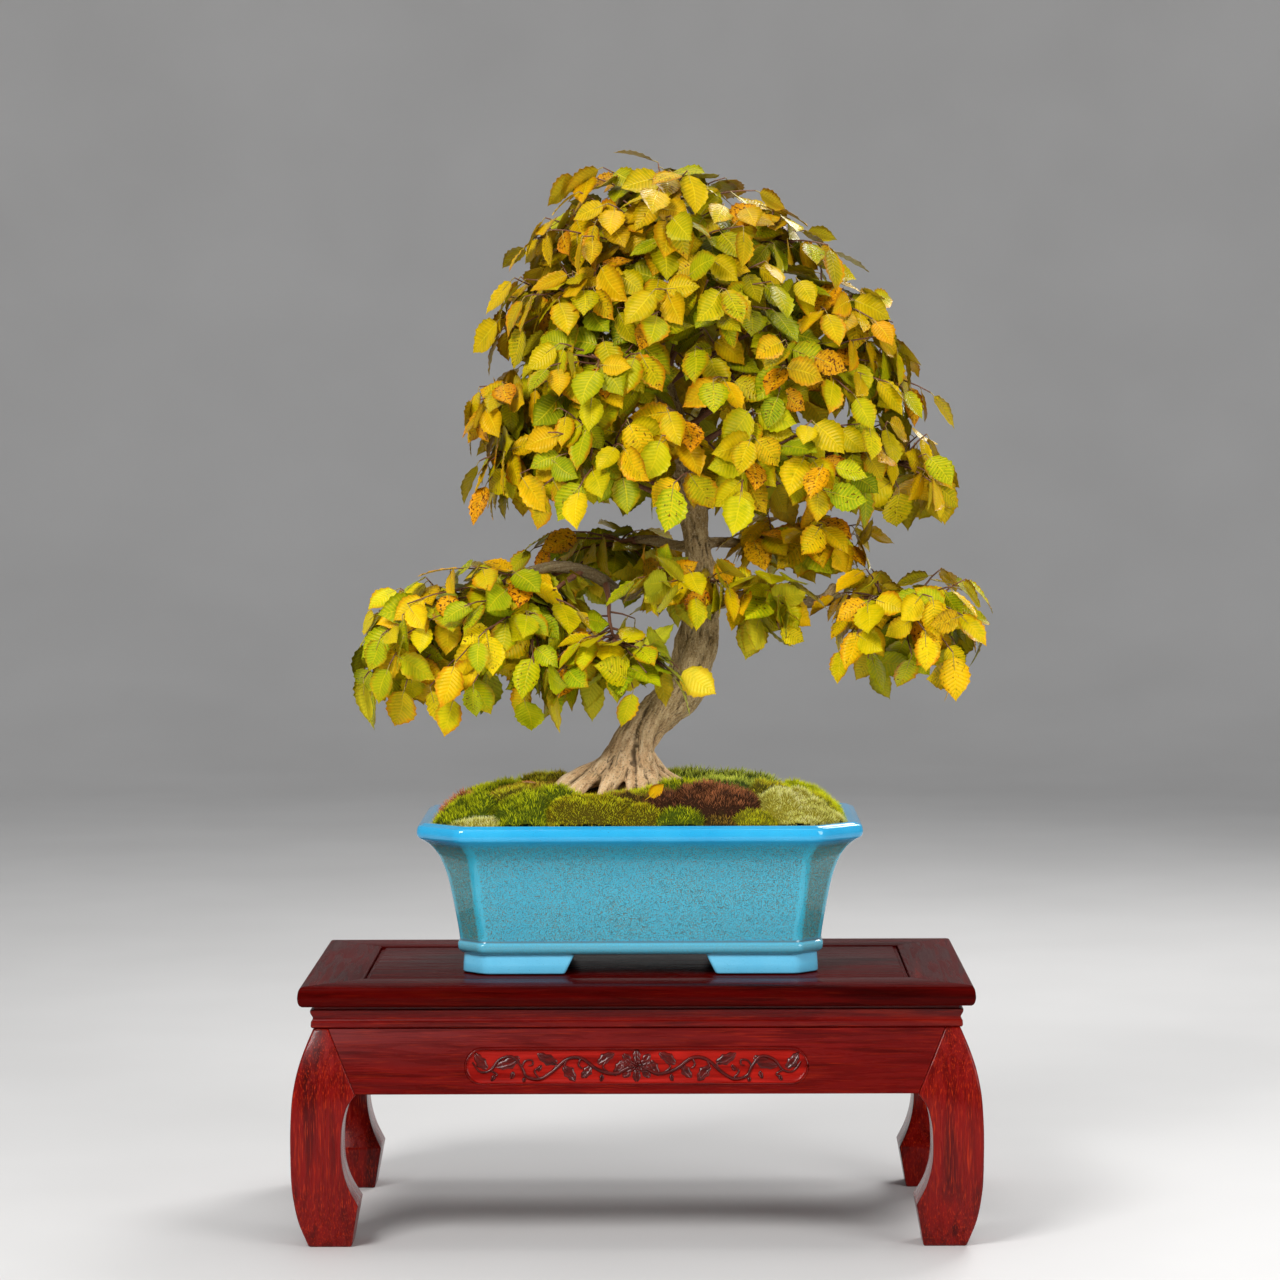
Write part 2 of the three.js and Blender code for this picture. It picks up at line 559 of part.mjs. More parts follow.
// Each cushion covers the soil that is nearer to its middle than to any other cushion's
function moss(ground, roots) {
  const looks = ['mossGreen', 'mossOlive', 'mossBrown', 'mossPale', 'mossGreen', 'mossOlive'];
  const solids = MOSS.map(([name, cx, cy, thick], which) => {
    const edge = Array.from({ length: MOSS_SIDES }, (_, k) => {
      const angle = (2 * Math.PI * k) / MOSS_SIDES;
      const step = [Math.cos(angle), Math.sin(angle)];
      let reach = 4;
      const own = () => {
        const [x, y] = [cx + reach * step[0], cy + reach * step[1]];
        if (towardsEdge(x, y) > 0.965) return false;
        return MOSS.every(([, ox, oy], other) => other === which
          || Math.hypot(x - ox, y - oy) > reach + MOSS_GROOVE);
      };
      while (own()) reach += 0.5;
      return { step, reach: reach - 1 - 3 * chance(which, k, 5, 1) };
    });
    const ring = (share, lift) => edge.map(({ step, reach }) => {
      const [x, y] = [cx + share * reach * step[0], cy + share * reach * step[1]];
      return V(x, y, lift === null ? SOIL.edge - 9 : soilHeight(x, y) + lift * thick);
    });
    const rings = [ring(0.97, null), ring(1, 0.3), ring(0.86, 0.72), ring(0.5, 0.97),
      [V(cx, cy, soilHeight(cx, cy) + thick)]];
    const cushion = solidOf(skin(rings)).subtract(ground.translate([0, 0, GAP])).subtract(roots);
    return piece(name, biggest(cushion), looks[which]);
  });
  return solids;
}

// Tree

const along = (points, share) => {
  const place = Math.min(share, 0.99999) * (points.length - 1);
  const i = Math.floor(place);
  return points[i].map((value, k) => mix(value, points[i + 1][k], place - i));
};

function trunkAt(z) {
  const i = Math.max(TRUNK.findIndex((row) => row[2] >= z), 1);
  const t = (z - TRUNK[i - 1][2]) / (TRUNK[i][2] - TRUNK[i - 1][2]);
  return TRUNK[i - 1].map((value, k) => mix(value, TRUNK[i][k], t));
}

// A curve bent once: its points and directions
function bow(from, middle, to) {
  const point = (t) => from.clone().multiplyScalar((1 - t) ** 2)
    .addScaledVector(middle, 2 * t * (1 - t)).addScaledVector(to, t * t);
  const tangent = (t) => middle.clone().sub(from).multiplyScalar(1 - t)
    .addScaledVector(to.clone().sub(middle), t).normalize();
  return { point, tangent, length: from.distanceTo(to) };
}

// A point under a cloud's outer surface, and the way out from there
function cloudPoint(name, azimuth, elevation, depth) {
  const { centre, reach, taper } = CLOUDS[name];
  const [c, s] = [Math.cos(azimuth), Math.sin(azimuth)];
  const side = c < 0 ? 0 : 1;
  const face = s < 0 ? 2 : 3;
  const level = Math.max(Math.cos(elevation), 0);
  const high = elevation < 0 ? reach[5] : reach[4];
  const offset = V(c * reach[side] * level ** taper[side], s * reach[face] * level ** taper[face],
    high * Math.sin(elevation));
  const out = V(offset.x / reach[side] ** 2, offset.y / reach[face] ** 2, offset.z / high ** 2).normalize();
  return { point: V(...centre).add(offset).addScaledVector(out, -depth), out };
}

// The stem of a branch: from inside the wood that carries it to the middle of its patch of leaf
function stemOf(row, which) {
  const [, cloud, azimuth, , elevation, , place, share] = row;
  const tip = cloudPoint(cloud, rad(azimuth), rad(elevation), STEM.depth).point;
  const onTrunk = share === undefined;
  const base = onTrunk ? trunkAt(place) : along(LIMBS[place], share);
  const from = V(base[0], base[1], base[2]);
  const reach = from.distanceTo(tip);
  const sway = (chance(which, 1, 2, 3) - 0.5) * STEM.sway * reach;
  const level = tip.clone().sub(from).setZ(0).normalize();
  const middle = from.clone().lerp(tip, 0.5);
  middle.add(V(-level.y * sway, level.x * sway, STEM.arch * reach));
  if (share === 1) {
    const before = along(LIMBS[place], 0.999);
    const onward = from.clone().sub(V(before[0], before[1], before[2])).normalize();
    middle.copy(from).addScaledVector(onward, reach * 0.4);
  }
  const curve = bow(from, middle, tip);
  const start = share === 1 ? 0 : (base[3] + STEM.stub) / reach;
  return { curve, start, atEnd: share === 1 };
}

function curveRings(curve, places, thick, thin, sides) {
  const [from, to] = [places[0], places[places.length - 1]];
  const radii = places.map((t) => mix(thick, thin, (t - from) / (to - from)));
  return tubeRings(places.map(curve.point), radii, sides, { tangents: places.map(curve.tangent) });
}

const evenly = (from, to, steps) => Array.from({ length: steps + 1 }, (_, i) => mix(from, to, i / steps));
const curveTube = (...shape) => solidOf(skin(curveRings(...shape)));

// The twigs of a branch, each from its stem to a place of its own near the cloud's surface
function twigOf(row, which, index, stem) {
  const [, cloud, azimuth, azimuthRange, elevation, elevationRange] = row;
  const a = (0.5 + (index + 1) * 0.7548776662) % 1;
  const b = (0.5 + (index + 1) * 0.569840291) % 1;
  const turn = rad(azimuth + azimuthRange * (2 * a - 1));
  const rise = rad(Math.min(elevation + elevationRange * (2 * b - 1), 89));
  let depth = mix(TWIG.depth[0], TWIG.depth[1], chance(which, index, 3, 1) ** 2);
  if (cloud === 'crown') {
    const aside = Math.abs(2 * a - 1);
    const above = Math.max(2 * b - 1 + 0.2, 0) / 1.2;
    const drawnIn = TIER.sides * aside ** 2 + TIER.top * above ** 1.5
      + TIER.uneven * chance(which, 5, 5, 5);
    depth += drawnIn * Math.cos(rise);
  }
  const { point, out } = cloudPoint(cloud, turn, rise, depth);
  const tip = stem.curve.point(1);
  const place = Math.min(Math.max(1 - (0.8 * point.distanceTo(tip)) / stem.curve.length, 0.35), 0.97);
  const from = stem.curve.point(Math.max(place, stem.start + 0.08));
  const middle = from.clone().lerp(point, 0.5).add(V(0, 0, TWIG.arch * from.distanceTo(point)));
  return { curve: bow(from, middle, point), out };
}

// How far along its twig a leaf sits
const leafShare = (index) => mix(TWIG.firstLeaf, 1, index / (LEAF.perTwig - 1));

// A leaf hangs from its twig with its upper side to the light
function leafPlace(which, twigIndex, index, twig, attempt) {
  const share = leafShare(index);
  const from = twig.curve.point(share);
  const onward = twig.curve.tangent(share);
  const draw = (k) => chance(which * 64 + twigIndex, index, k, 17);
  const side = (index + twigIndex) % 2 === 0 ? 1 : -1;
  const terminal = index === LEAF.perTwig - 1;
  const flat = V(twig.out.x + 0.3 * onward.x + 1e-3, twig.out.y + 0.3 * onward.y, 0);
  const lateral = V(flat.y, -flat.x, 0).normalize();
  const normal = twig.out.clone().add(V(0, 0, 0.1 + 0.8 * draw(0)))
    .addScaledVector(lateral, 1.3 * (draw(1) - 0.5)).normalize();
  const sideways = side * (terminal ? 0.15 : 0.4 + 0.6 * draw(2));
  const axis = onward.clone().multiplyScalar(0.5).addScaledVector(lateral, sideways)
    .addScaledVector(twig.out, 0.15 + 0.5 * draw(6)).add(V(0, 0, -0.3 - 0.8 * draw(3)));
  axis.addScaledVector(normal, -axis.dot(normal)).normalize();
  const turns = [0, 26, -26, 52, -52, 80, -80];
  axis.applyAxisAngle(normal, rad(turns[attempt % turns.length]));
  const droop = rad(-8 + 48 * draw(4) + (attempt >= turns.length ? 18 : 0));
  normal.applyAxisAngle(axis, rad(64 * (draw(7) - 0.5)));
  const across = normal.clone().cross(axis);
  axis.applyAxisAngle(across, droop);
  normal.applyAxisAngle(across, droop);
  const scale = (0.78 + 0.36 * draw(5)) * (terminal ? 1.05 : 1);
  return { from, axis, normal, across, scale };
}

// A leaf as a solid: an ovate blade arched along and across, on a thin stalk. The stalk starts
// inside the twig, or the twig's own last rings run on into the blade.
// spare makes it larger all round, to keep a gap to other branches.
function leafSolid({ from, axis, normal, across, scale }, { spare = 0, rings = [] } = {}) {
  const long = LEAF.length * scale;
  const wide = LEAF.halfWidth * scale;
  const at = (u, v, w) => from.clone().addScaledVector(axis, u).addScaledVector(across, v)
    .addScaledVector(normal, w);
  const sag = (share) => -LEAF.sag * share * share * long;
  const base = LEAF.petiole;
  const rim = (share, width) => [1, -1].map((side) => (
    at(base + share * long, side * (width * wide + spare), sag(share))));
  const [left0, right0] = rim(0, 0.09);
  const [left1, right1] = rim(0.26, 0.98);
  const [left2, right2] = rim(0.66, 0.8);
  const tip = at(base + long + spare, 0, sag(1));
  const crest = at(base + 0.44 * long, 0, sag(0.44) + LEAF.thickness * 0.75 + spare);
  const belly = at(base + 0.44 * long, 0, sag(0.44) - LEAF.thickness * 0.35 - spare);
  const keel = at(base - 0.5, 0, -0.9 - spare);
  const points = [left0, left1, left2, tip, right2, right1, right0, crest, belly, keel];
  const index = [];
  for (let k = 0; k < 6; k += 1) index.push(k, 7, k + 1, k, k + 1, 8);
  index.push(6, 7, 0, 6, 9, 8, 0, 8, 9);
  let ring = [0, 6, 9];
  for (const before of [...rings].reverse()) {
    const start = points.length;
    points.push(...before);
    const distance = (shift) => ring.reduce((sum, b, k) => (
      sum + points[b].distanceTo(points[start + ((k + shift) % 3)])), 0);
    const shift = [0, 1, 2].sort((a, b) => distance(a) - distance(b))[0];
    const own = [0, 1, 2].map((k) => start + ((k + shift) % 3));
    for (let k = 0; k < 3; k += 1) {
      const l = (k + 1) % 3;
      index.push(own[k], own[l], ring[l], own[k], ring[l], ring[k]);
    }
    ring = own;
  }
  if (rings.length > 0) {
    index.push(ring[0], ring[2], ring[1]);
  } else {
    points.push(from);
    index.push(0, 10, 6, 6, 10, 9, 9, 10, 0);
  }
  return solidOf(indexed(points, index));
}

// Trunk and roots as separate solids, larger by extra all round where they shape their hole
function trunkSolids(extra) {
  const flute = (turn, i) => 1 + 0.09 * Math.cos(3 * turn + 0.5 * i) + 0.04 * Math.cos(5 * turn - i);
  const rows = TRUNK.map(([x, y, z, r], i) => [x, y, i === 0 ? z - extra : z, r]);
  return [rowsToTube(rows, TRUNK_SIDES, extra, flute), ...ROOTS.map((root) => rowsToTube(root, 6, extra))];
}

// The trunk carries its limbs, and a short stub for each branch that leaves it
function trunk(stems) {
  const stubs = stems.filter((stem) => !stem.atEnd).map(({ curve, start }) => (
    curveTube(curve, [0, start], STEM.radius + 0.6, STEM.radius + 0.1, STEM.sides)));
  const limbs = Object.values(LIMBS).map((limb) => rowsToTube(limb, 6));
  return piece('trunk', biggest(joined([...trunkSolids(0), ...limbs, ...stubs])), 'bark');
}

// Solids with their owners, to find what a new one would cross
class Neighbours {
  constructor() { this.items = []; }

  add(solid, owner) { this.items.push({ solid, owner, box: solid.boundingBox() }); }

  crosses(solid, wanted) {
    const box = solid.boundingBox();
    const near = (other) => [0, 1, 2].every((k) => box.min[k] < other.max[k] && other.min[k] < box.max[k]);
    return this.items.some((item) => wanted(item.owner) && near(item.box)
      && !solid.intersect(item.solid).isEmpty());
  }
}

// A place for a leaf: its first turn that is clear of other branches, and of its own if it can be
function freePlace(which, twigIndex, leafIndex, twig, woods, leaves) {
  const other = (owner) => owner !== which;
  for (let attempt = 0; attempt < LEAF.attempts; attempt += 1) {
    const place = leafPlace(which, twigIndex, leafIndex, twig, attempt);
    const roomy = leafSolid(place, { spare: GAP });
    const mayTouchOwn = attempt >= LEAF.attempts - 2;
    const blocked = woods.crosses(roomy, other) || leaves.crosses(roomy, other)
      || (!mayTouchOwn && leaves.crosses(leafSolid(place), (owner) => owner === which));
    if (!blocked) {
      leaves.add(leafSolid(place), which);
      return place;
    }
  }
  return null;
}

// The kept twigs of a branch, without those that would cross another branch
function keptTwigs(row, which, stem, woods) {
  const twigs = Array.from({ length: KEPT_TWIGS }, (_, k) => {
    const index = k * KEPT_STEP;
    const twig = twigOf(row, which, index, stem);
    const leaves = KEPT_LEAVES[k % KEPT_LEAVES.length];
    const places = leaves.map(leafShare);
    const shape = [twig.curve, [0, ...places], TWIG.root, TWIG.tip, TWIG.sides];
    const roomy = curveTube(twig.curve, [0.05, ...places], TWIG.root + GAP, TWIG.tip + GAP, TWIG.sides);
    if (woods.crosses(roomy, (owner) => owner !== which)) return null;
    woods.add(curveTube(...shape), which);
    return { twig, index, shape, leaves };
  });
  return twigs.filter((item) => item !== null);
}

function branches(stems, others) {
  const woods = new Neighbours();
  const leaves = new Neighbours();
  others.forEach((solid) => woods.add(solid, 'other'));
  const parts = BRANCHES.map(([name], which) => {
    const { curve, start } = stems[which];
    const clear = start + (GAP + 0.1) / (2 * curve.point(0).distanceTo(curve.point(0.5)));
    const solid = curveTube(curve, evenly(clear, 1, STEM.steps), STEM.radius, STEM.tip, STEM.sides);
    if (woods.crosses(solid, () => true)) throw new Error(`the stem of ${name} crosses another piece`);
    woods.add(solid, which);
    return [solid];
  });
  const twigs = BRANCHES.map((row, which) => keptTwigs(row, which, stems[which], woods));
  const last = LEAF.perTwig - 1;
  twigs.forEach((own, which) => own.forEach(({ twig, index, shape }) => {
    const place = freePlace(which, index, last, twig, woods, leaves);
    parts[which].push(place ? leafSolid(place, { rings: curveRings(...shape) }) : curveTube(...shape));
  }));
  for (let leafIndex = last - 1; leafIndex >= 0; leafIndex -= 1) {
    twigs.forEach((own, which) => own.filter((item) => item.leaves.includes(leafIndex))
      .forEach(({ twig, index }) => {
        const place = freePlace(which, index, leafIndex, twig, woods, leaves);
        if (place) parts[which].push(leafSolid(place));
      }));
  }
  const looks = ['leaf', 'leafGreen', 'leafDry'];
  parts.forEach((solids, which) => {
    const look = looks[Math.floor(chance(which, 9, 9, 9) * looks.length)];
    piece(`leaves_${BRANCHES[which][0]}`, biggest(joined(solids)), look);
  });
}

// A fallen leaf lies on the moss, let down until it rests
function fallenLeaf(ground) {
  const from = V(8, -62, 344);
  const axis = V(0.8, -0.25, 0.35).normalize();
  const across = V(0.3, 0.9, 0.1).cross(axis).cross(axis).negate().normalize();
  const normal = axis.clone().cross(across);
  let solid = leafSolid({ from, axis, normal, across, scale: 0.5 });
  while (!solid.translate([0, 0, -GAP]).intersect(ground).isEmpty()) solid = solid.translate([0, 0, 0.5]);
  piece('fallen_leaf', solid, 'leafDry');
}

topRails();
waistStrips();
legs();
aprons();
pot();
const cover = screens();
const rootHole = joined(trunkSolids(0.45));
const ground = soil(cover, rootHole);
const cushions = moss(ground, rootHole);
fallenLeaf(joined([ground, ...cushions]));
const stems = BRANCHES.map((row, which) => stemOf(row, which));
branches(stems, [trunk(stems), ...cushions]);

const bonsai = new THREE.Group();
pieces.forEach((mesh) => bonsai.add(mesh));
const footprint = new THREE.Box3().setFromObject(bonsai);
bonsai.position.x = -(footprint.min.x + footprint.max.x) / 2;
bonsai.position.y = -(footprint.min.y + footprint.max.y) / 2;

export default bonsai;
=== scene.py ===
import math

import bmesh
import bpy
import numpy as np
from mathutils import Matrix, Vector
from mathutils.geometry import tessellate_polygon


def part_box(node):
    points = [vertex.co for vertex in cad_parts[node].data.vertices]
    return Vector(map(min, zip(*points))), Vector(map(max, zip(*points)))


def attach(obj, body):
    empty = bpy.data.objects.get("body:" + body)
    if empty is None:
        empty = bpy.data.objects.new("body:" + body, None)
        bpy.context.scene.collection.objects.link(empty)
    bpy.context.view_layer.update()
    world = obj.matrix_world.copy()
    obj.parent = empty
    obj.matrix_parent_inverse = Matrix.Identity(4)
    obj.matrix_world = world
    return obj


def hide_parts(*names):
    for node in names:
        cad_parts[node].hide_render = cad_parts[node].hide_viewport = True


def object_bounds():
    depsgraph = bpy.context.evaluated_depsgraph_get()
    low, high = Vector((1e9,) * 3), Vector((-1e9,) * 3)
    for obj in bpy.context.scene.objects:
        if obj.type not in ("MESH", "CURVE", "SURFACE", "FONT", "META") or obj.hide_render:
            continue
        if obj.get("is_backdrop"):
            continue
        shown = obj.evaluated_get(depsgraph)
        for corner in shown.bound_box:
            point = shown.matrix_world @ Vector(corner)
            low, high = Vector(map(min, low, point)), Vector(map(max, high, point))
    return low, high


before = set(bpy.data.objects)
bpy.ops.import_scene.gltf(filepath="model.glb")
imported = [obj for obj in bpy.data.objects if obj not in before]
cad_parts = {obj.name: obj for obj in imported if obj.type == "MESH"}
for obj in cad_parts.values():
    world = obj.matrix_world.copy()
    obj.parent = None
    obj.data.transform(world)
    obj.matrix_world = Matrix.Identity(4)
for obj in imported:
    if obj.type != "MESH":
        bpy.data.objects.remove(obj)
cad_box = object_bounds()

# Construction sizes are in millimetres, about the middle of the stand on the floor.
panel_low, panel_high = (np.array(corner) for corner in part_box("stand_top_panel"))
SHIFT = np.array([(panel_low[0] + panel_high[0]) / 2, (panel_low[1] + panel_high[1]) / 2, 0.0])
MM = 0.001

GAP = 0.3  # air between neighbouring pieces
STAND = dict(half_width=262.0, half_depth=142.0, top=204.0, slab=16.0, frame=48.0, panel_gap=0.6,
             apron_bottom=121.0, apron_thickness=11.0)
LEG_OUTER = [(11.3, 170.4), (5.6, 157), (0.4, 142), (-3.5, 124.5), (-5.8, 97), (-6, 73), (-4.6, 42),
             (-0.8, 21), (6.5, 0)]
LEG_INNER = [(40, 0), (43.4, 19.5), (46, 34), (39, 47.8), (34.8, 62), (33.4, 83), (35.3, 101.7),
             (38.6, 112), (44.7, 120.6)]
SHOULDER_TOP = (22.8, 170.4)
KNEE = 34  # height where a foot turns from its inner curl to the hollow above it
CARTOUCHE = dict(half_length=131.8, half_height=12.8, height=141.9, depth=3.0)

POT = dict(x=2.5, less_deep=64.5, foot_half=141.5, foot_wall=13.0, opening=107.0, side_opening=56.0,
           wall=8.0, floor=233.0, hole_radius=11.0, hole_x=62.0, lip=9.0, band_top=231)
POT_PROFILE = [(142, 220.2, 18), (144.2, 223, 18), (144.5, 227.5, 18), (142.9, 229.6, 18),
               (144.4, 240, 19), (147.6, 258, 20), (151.2, 276, 22), (154.8, 288, 24), (159.4, 298, 27.5),
               (165, 305.5, 30), (171, 310.2, 32.5), (174.8, 313, 33.5), (175.8, 317, 33.5),
               (174.6, 321.8, 33), (171.6, 323.2, 32)]
SOIL = dict(edge=319.0, crown=345.0, half_width=160.0, power=3.0, flat=4)
# shallow dip of the ground in front of the trunk, where the roots come out
DIP = dict(x=-26, y=-34, half_length=44, half_width=26, depth=8.0)
# name and middle of each mat of moss
MATS = [("moss_green_left", -112, -52), ("moss_olive_front", -28, -66), ("moss_brown_right", 62, -58),
        ("moss_pale_right", 126, -40), ("moss_green_back_right", 78, 46), ("moss_green_back_left", -70, 44)]

# wood of the tree, as rows of place and radius
TRUNK = [(-7, 2, 316, 15), (-7.5, 1, 338, 27), (-7, 0, 352, 25), (-5.5, 0, 362, 21.5), (-4.3, 1, 372, 19),
         (0.8, 2, 383.3, 16.8), (8.6, 3, 394.5, 16.3), (21, 5, 405.8, 16.6), (34.5, 7, 419.3, 17),
         (41, 8, 432, 17), (44.5, 7, 448, 17), (47.5, 5, 463, 16.6), (50, 4, 480, 15.2), (51.8, 2, 498, 13.6),
         (50.2, 0, 525, 10.5), (47.8, 0, 544, 10.2), (45.5, 0, 562, 12), (43.1, -1, 581, 13),
         (40, -2, 600, 12), (33.7, -4, 624, 10.6), (25.8, -6, 656, 9), (17.9, -8, 688, 7.8),
         (15.6, -9, 712, 6.8), (17.4, -10, 744, 5.4), (21.5, -10, 775, 4), (25, -10, 800, 2.6)]
ROOTS = [
    [(-6, -1, 380, 11), (-28, -5, 363, 9.5), (-45, -8, 357, 7.5), (-60, -11, 348, 5.4), (-73, -13, 334, 3.6)],
    [(-6, -7, 378, 10), (-32, -15, 356, 8.5), (-50, -21, 345, 6), (-62, -25, 332, 3.6)],
    [(-6, -10, 372, 10), (-20, -26, 351, 7.5), (-30, -42, 336, 4.4)],
    [(0, -8, 372, 9), (4, -26, 350, 6.5), (8, -40, 336, 4)],
    [(2, -2, 374, 11), (20, -4, 356, 8), (36, -6, 347, 5.6), (50, -8, 334, 3.6)],
    [(-4, 6, 372, 10), (-12, 26, 352, 7.5), (-18, 42, 336, 4.2)],
    [(2, 6, 370, 9), (20, 22, 350, 7), (31, 35, 335, 4)],
]
LIMBS = {
    "left": [(44, 4, 499, 8.5), (26, 8, 503, 6.6), (7.5, 14, 505.5, 5.6), (-8.7, 10, 499.5, 5.4),
             (-23.8, 4, 509.5, 5.2), (-42, 0, 519, 5), (-69, -8, 523, 4.6), (-104, -14, 513, 4)],
    "right": [(50, 2, 494, 8), (69, -2, 495, 6.2), (99, -6, 492.6, 5.4), (132, -10, 494, 5.2),
              (168, -16, 497, 4.2)],
    "rightKnob": [(148, -13, 495, 4.2), (156, -14, 503, 4.8), (159, -14, 509, 4)],
    "backLeft": [(46, 2, 538, 6), (33.4, 14, 539, 4.6), (14, 26, 543, 4), (0, 38, 543, 3.6)],
    "rightUpper": [(46, 0, 541, 6), (66, 3, 542, 4.4), (84, 5, 541, 4)],
}
# centre, reach to the left, right, front, back, up and down, and how each side closes upward
CLOUDS = {
    "crown": ((22, -4, 584), (177, 249, 134, 142, 284, 40), (0.7, 1.12, 0.75, 0.8)),
    "lowLeft": ((-128, -14, 450), (118, 112, 92, 88, 102, 74), (1.5, 0.8, 0.8, 0.8)),
    "lowLeftFront": ((-14, -72, 446), (76, 74, 46, 44, 44, 40), (0.8, 0.8, 0.8, 0.8)),
    "lowRight": ((216, -20, 476), (80, 86, 78, 74, 70, 74), (0.9, 1.1, 0.9, 0.9)),
    "lowRightFront": ((108, -50, 498), (46, 44, 36, 34, 40, 52), (0.8, 0.8, 0.8, 0.8)),
    "middleFront": ((38, -64, 514), (56, 54, 34, 28, 30, 34), (0.8, 0.8, 0.8, 0.8)),
    "middleRight": ((134, 6, 548), (70, 70, 60, 60, 40, 44), (0.8, 0.8, 0.8, 0.8)),
    "middleLeft": ((-26, 66, 532), (80, 76, 40, 56, 44, 66), (0.8, 0.8, 0.8, 0.8)),
}
# name, cloud, azimuth and half-range, elevation and half-range, then a height on the trunk,
# or a limb and a place along it
BRANCHES = [
    ("crown_a_right", "crown", -6, 26, 5, 9, 566),
    ("crown_a_back_right", "crown", 44, 26, 6, 8, 572),
    ("crown_a_back", "crown", 98, 28, 8, 8, 560),
    ("crown_a_back_left", "crown", 152, 27, 8, 7, 575),
    ("crown_a_left", "crown", 198, 24, 7, 6, 568),
    ("crown_a_front_left", "crown", 244, 25, 8, 8, 583),
    ("crown_a_front_right", "crown", 300, 31, 7, 9, 590),
    ("crown_b_right", "crown", 14, 28, 24, 8, 612),
    ("crown_b_back", "crown", 74, 31, 24, 8, 606),
    ("crown_b_back_left", "crown", 134, 29, 23, 8, 618),
    ("crown_b_left", "crown", 188, 27, 17, 4, 625),
    ("crown_b_front", "crown", 246, 30, 24, 8, 634),
    ("crown_b_front_right", "crown", 312, 35, 24, 8, 628),
    ("crown_c_right", "crown", -8, 40, 39, 9, 668),
    ("crown_c_back", "crown", 78, 44, 39, 9, 660),
    ("crown_c_left", "crown", 160, 38, 36, 8, 675),
    ("crown_c_front_left", "crown", 226, 30, 38, 9, 684),
    ("crown_c_front", "crown", 282, 32, 39, 9, 672),
    ("crown_d_right", "crown", 10, 62, 57, 10, 724),
    ("crown_d_left", "crown", 152, 70, 56, 10, 732),
    ("crown_d_front", "crown", 266, 60, 57, 10, 740),
    ("crown_top", "crown", 90, 180, 78, 12, 788),
    ("low_left_outer", "lowLeft", 190, 56, 16, 50, "left", 1),
    ("low_left_back", "lowLeft", 80, 66, 24, 46, "left", 0.8),
    ("low_left_front", "lowLeft", 292, 64, 18, 54, "left", 0.72),
    ("low_left_inner", "lowLeftFront", 270, 180, 15, 65, "left", 0.58),
    ("low_right_outer", "lowRight", 0, 180, 15, 55, "right", 1),
    ("low_right_front", "lowRightFront", 270, 180, 15, 60, "right", 0.5),
    ("middle_front", "middleFront", 270, 180, 15, 60, "right", 0.12),
    ("middle_right", "middleRight", 0, 180, 15, 60, "rightUpper", 1),
    ("middle_left", "middleLeft", 100, 180, 15, 60, "backLeft", 1),
]
STEM = dict(tip=1.2, stub=7.0, arch=0.1, sway=0.25, depth=40.0)
TWIGS_IN = {"crown": 13, "lowLeft": 24, "lowLeftFront": 22, "lowRight": 30, "lowRightFront": 16,
            "middleFront": 14, "middleRight": 18, "middleLeft": 16}
TWIG = dict(root=1.1, tip=0.75, arch=0.14, depth=(17.0, 46.0), first_leaf=0.45)
# how far a crown branch's patch draws in at its sides and top, and from branch to branch
TIER = dict(sides=10.0, top=20.0, uneven=14.0)
LEAF = dict(per_twig=5, length=30.0, half_width=10.2, petiole=4.5, sag=0.13)


# Numbers

def chance(a, b, c, d):
    """A repeatable number from 0 to 1 for a set of whole numbers."""
    mask = 0xFFFFFFFF
    h = (((a + 1) * 0x9E3779B1) ^ ((b + 7) * 0x85EBCA6B)) & mask
    h = (h ^ ((c + 13) * 0xC2B2AE35) ^ ((d + 29) * 0x27D4EB2F)) & mask
    h = ((h ^ (h >> 15)) * 0x2C1B3C6D) & mask
    h = ((h ^ (h >> 12)) * 0x297A2D39) & mask
    return (h ^ (h >> 15)) / 4294967296


def mix(a, b, t):
    return a + (b - a) * t


def unit(v):
    return v / (np.linalg.norm(v) + 1e-12)


def vec(*values):
    return np.array(values, dtype=float)


def lattice(ix, iy, iz, seed):
    """A repeatable number from 0 to 1 at each point of a grid."""
    h = (ix * 374761393 + iy * 668265263 + iz * 2147483647 + seed * 1274126177) & 0xFFFFFFFF
    h = ((h ^ (h >> 13)) * 1274126177) & 0xFFFFFFFF
    return ((h ^ (h >> 16)) & 0xFFFF) / 65535.0


def noise(points, seed=0):
    """Smooth random values from 0 to 1 at points one unit apart."""
    cell = np.floor(points).astype(np.int64)
    part = points - cell
    part = part * part * (3 - 2 * part)
    total = np.zeros(len(points))
    for corner in range(8):
        step = [(corner >> k) & 1 for k in range(3)]
        weight = np.ones(len(points))
        for k in range(3):
            weight = weight * (part[:, k] if step[k] else 1 - part[:, k])
        total += weight * lattice(*(cell[:, k] + step[k] for k in range(3)), seed)
    return total


def layered_noise(points, octaves=3, seed=0):
    total = np.zeros(len(points))
    share = 1.0
    for k in range(octaves):
        total += share * (noise(points * 2 ** k, seed + k) - 0.5)
        share *= 0.5
    return total


# Meshes

def make(name, points, faces, material, slot, instead=(), attributes=None):
    """A piece of the object from points in millimetres."""
    mesh = bpy.data.meshes.new(name)
    mesh.from_pydata((np.asarray(points) * MM + SHIFT).tolist(), [], faces)
    return finish_piece(name, mesh, material, slot, instead, attributes)


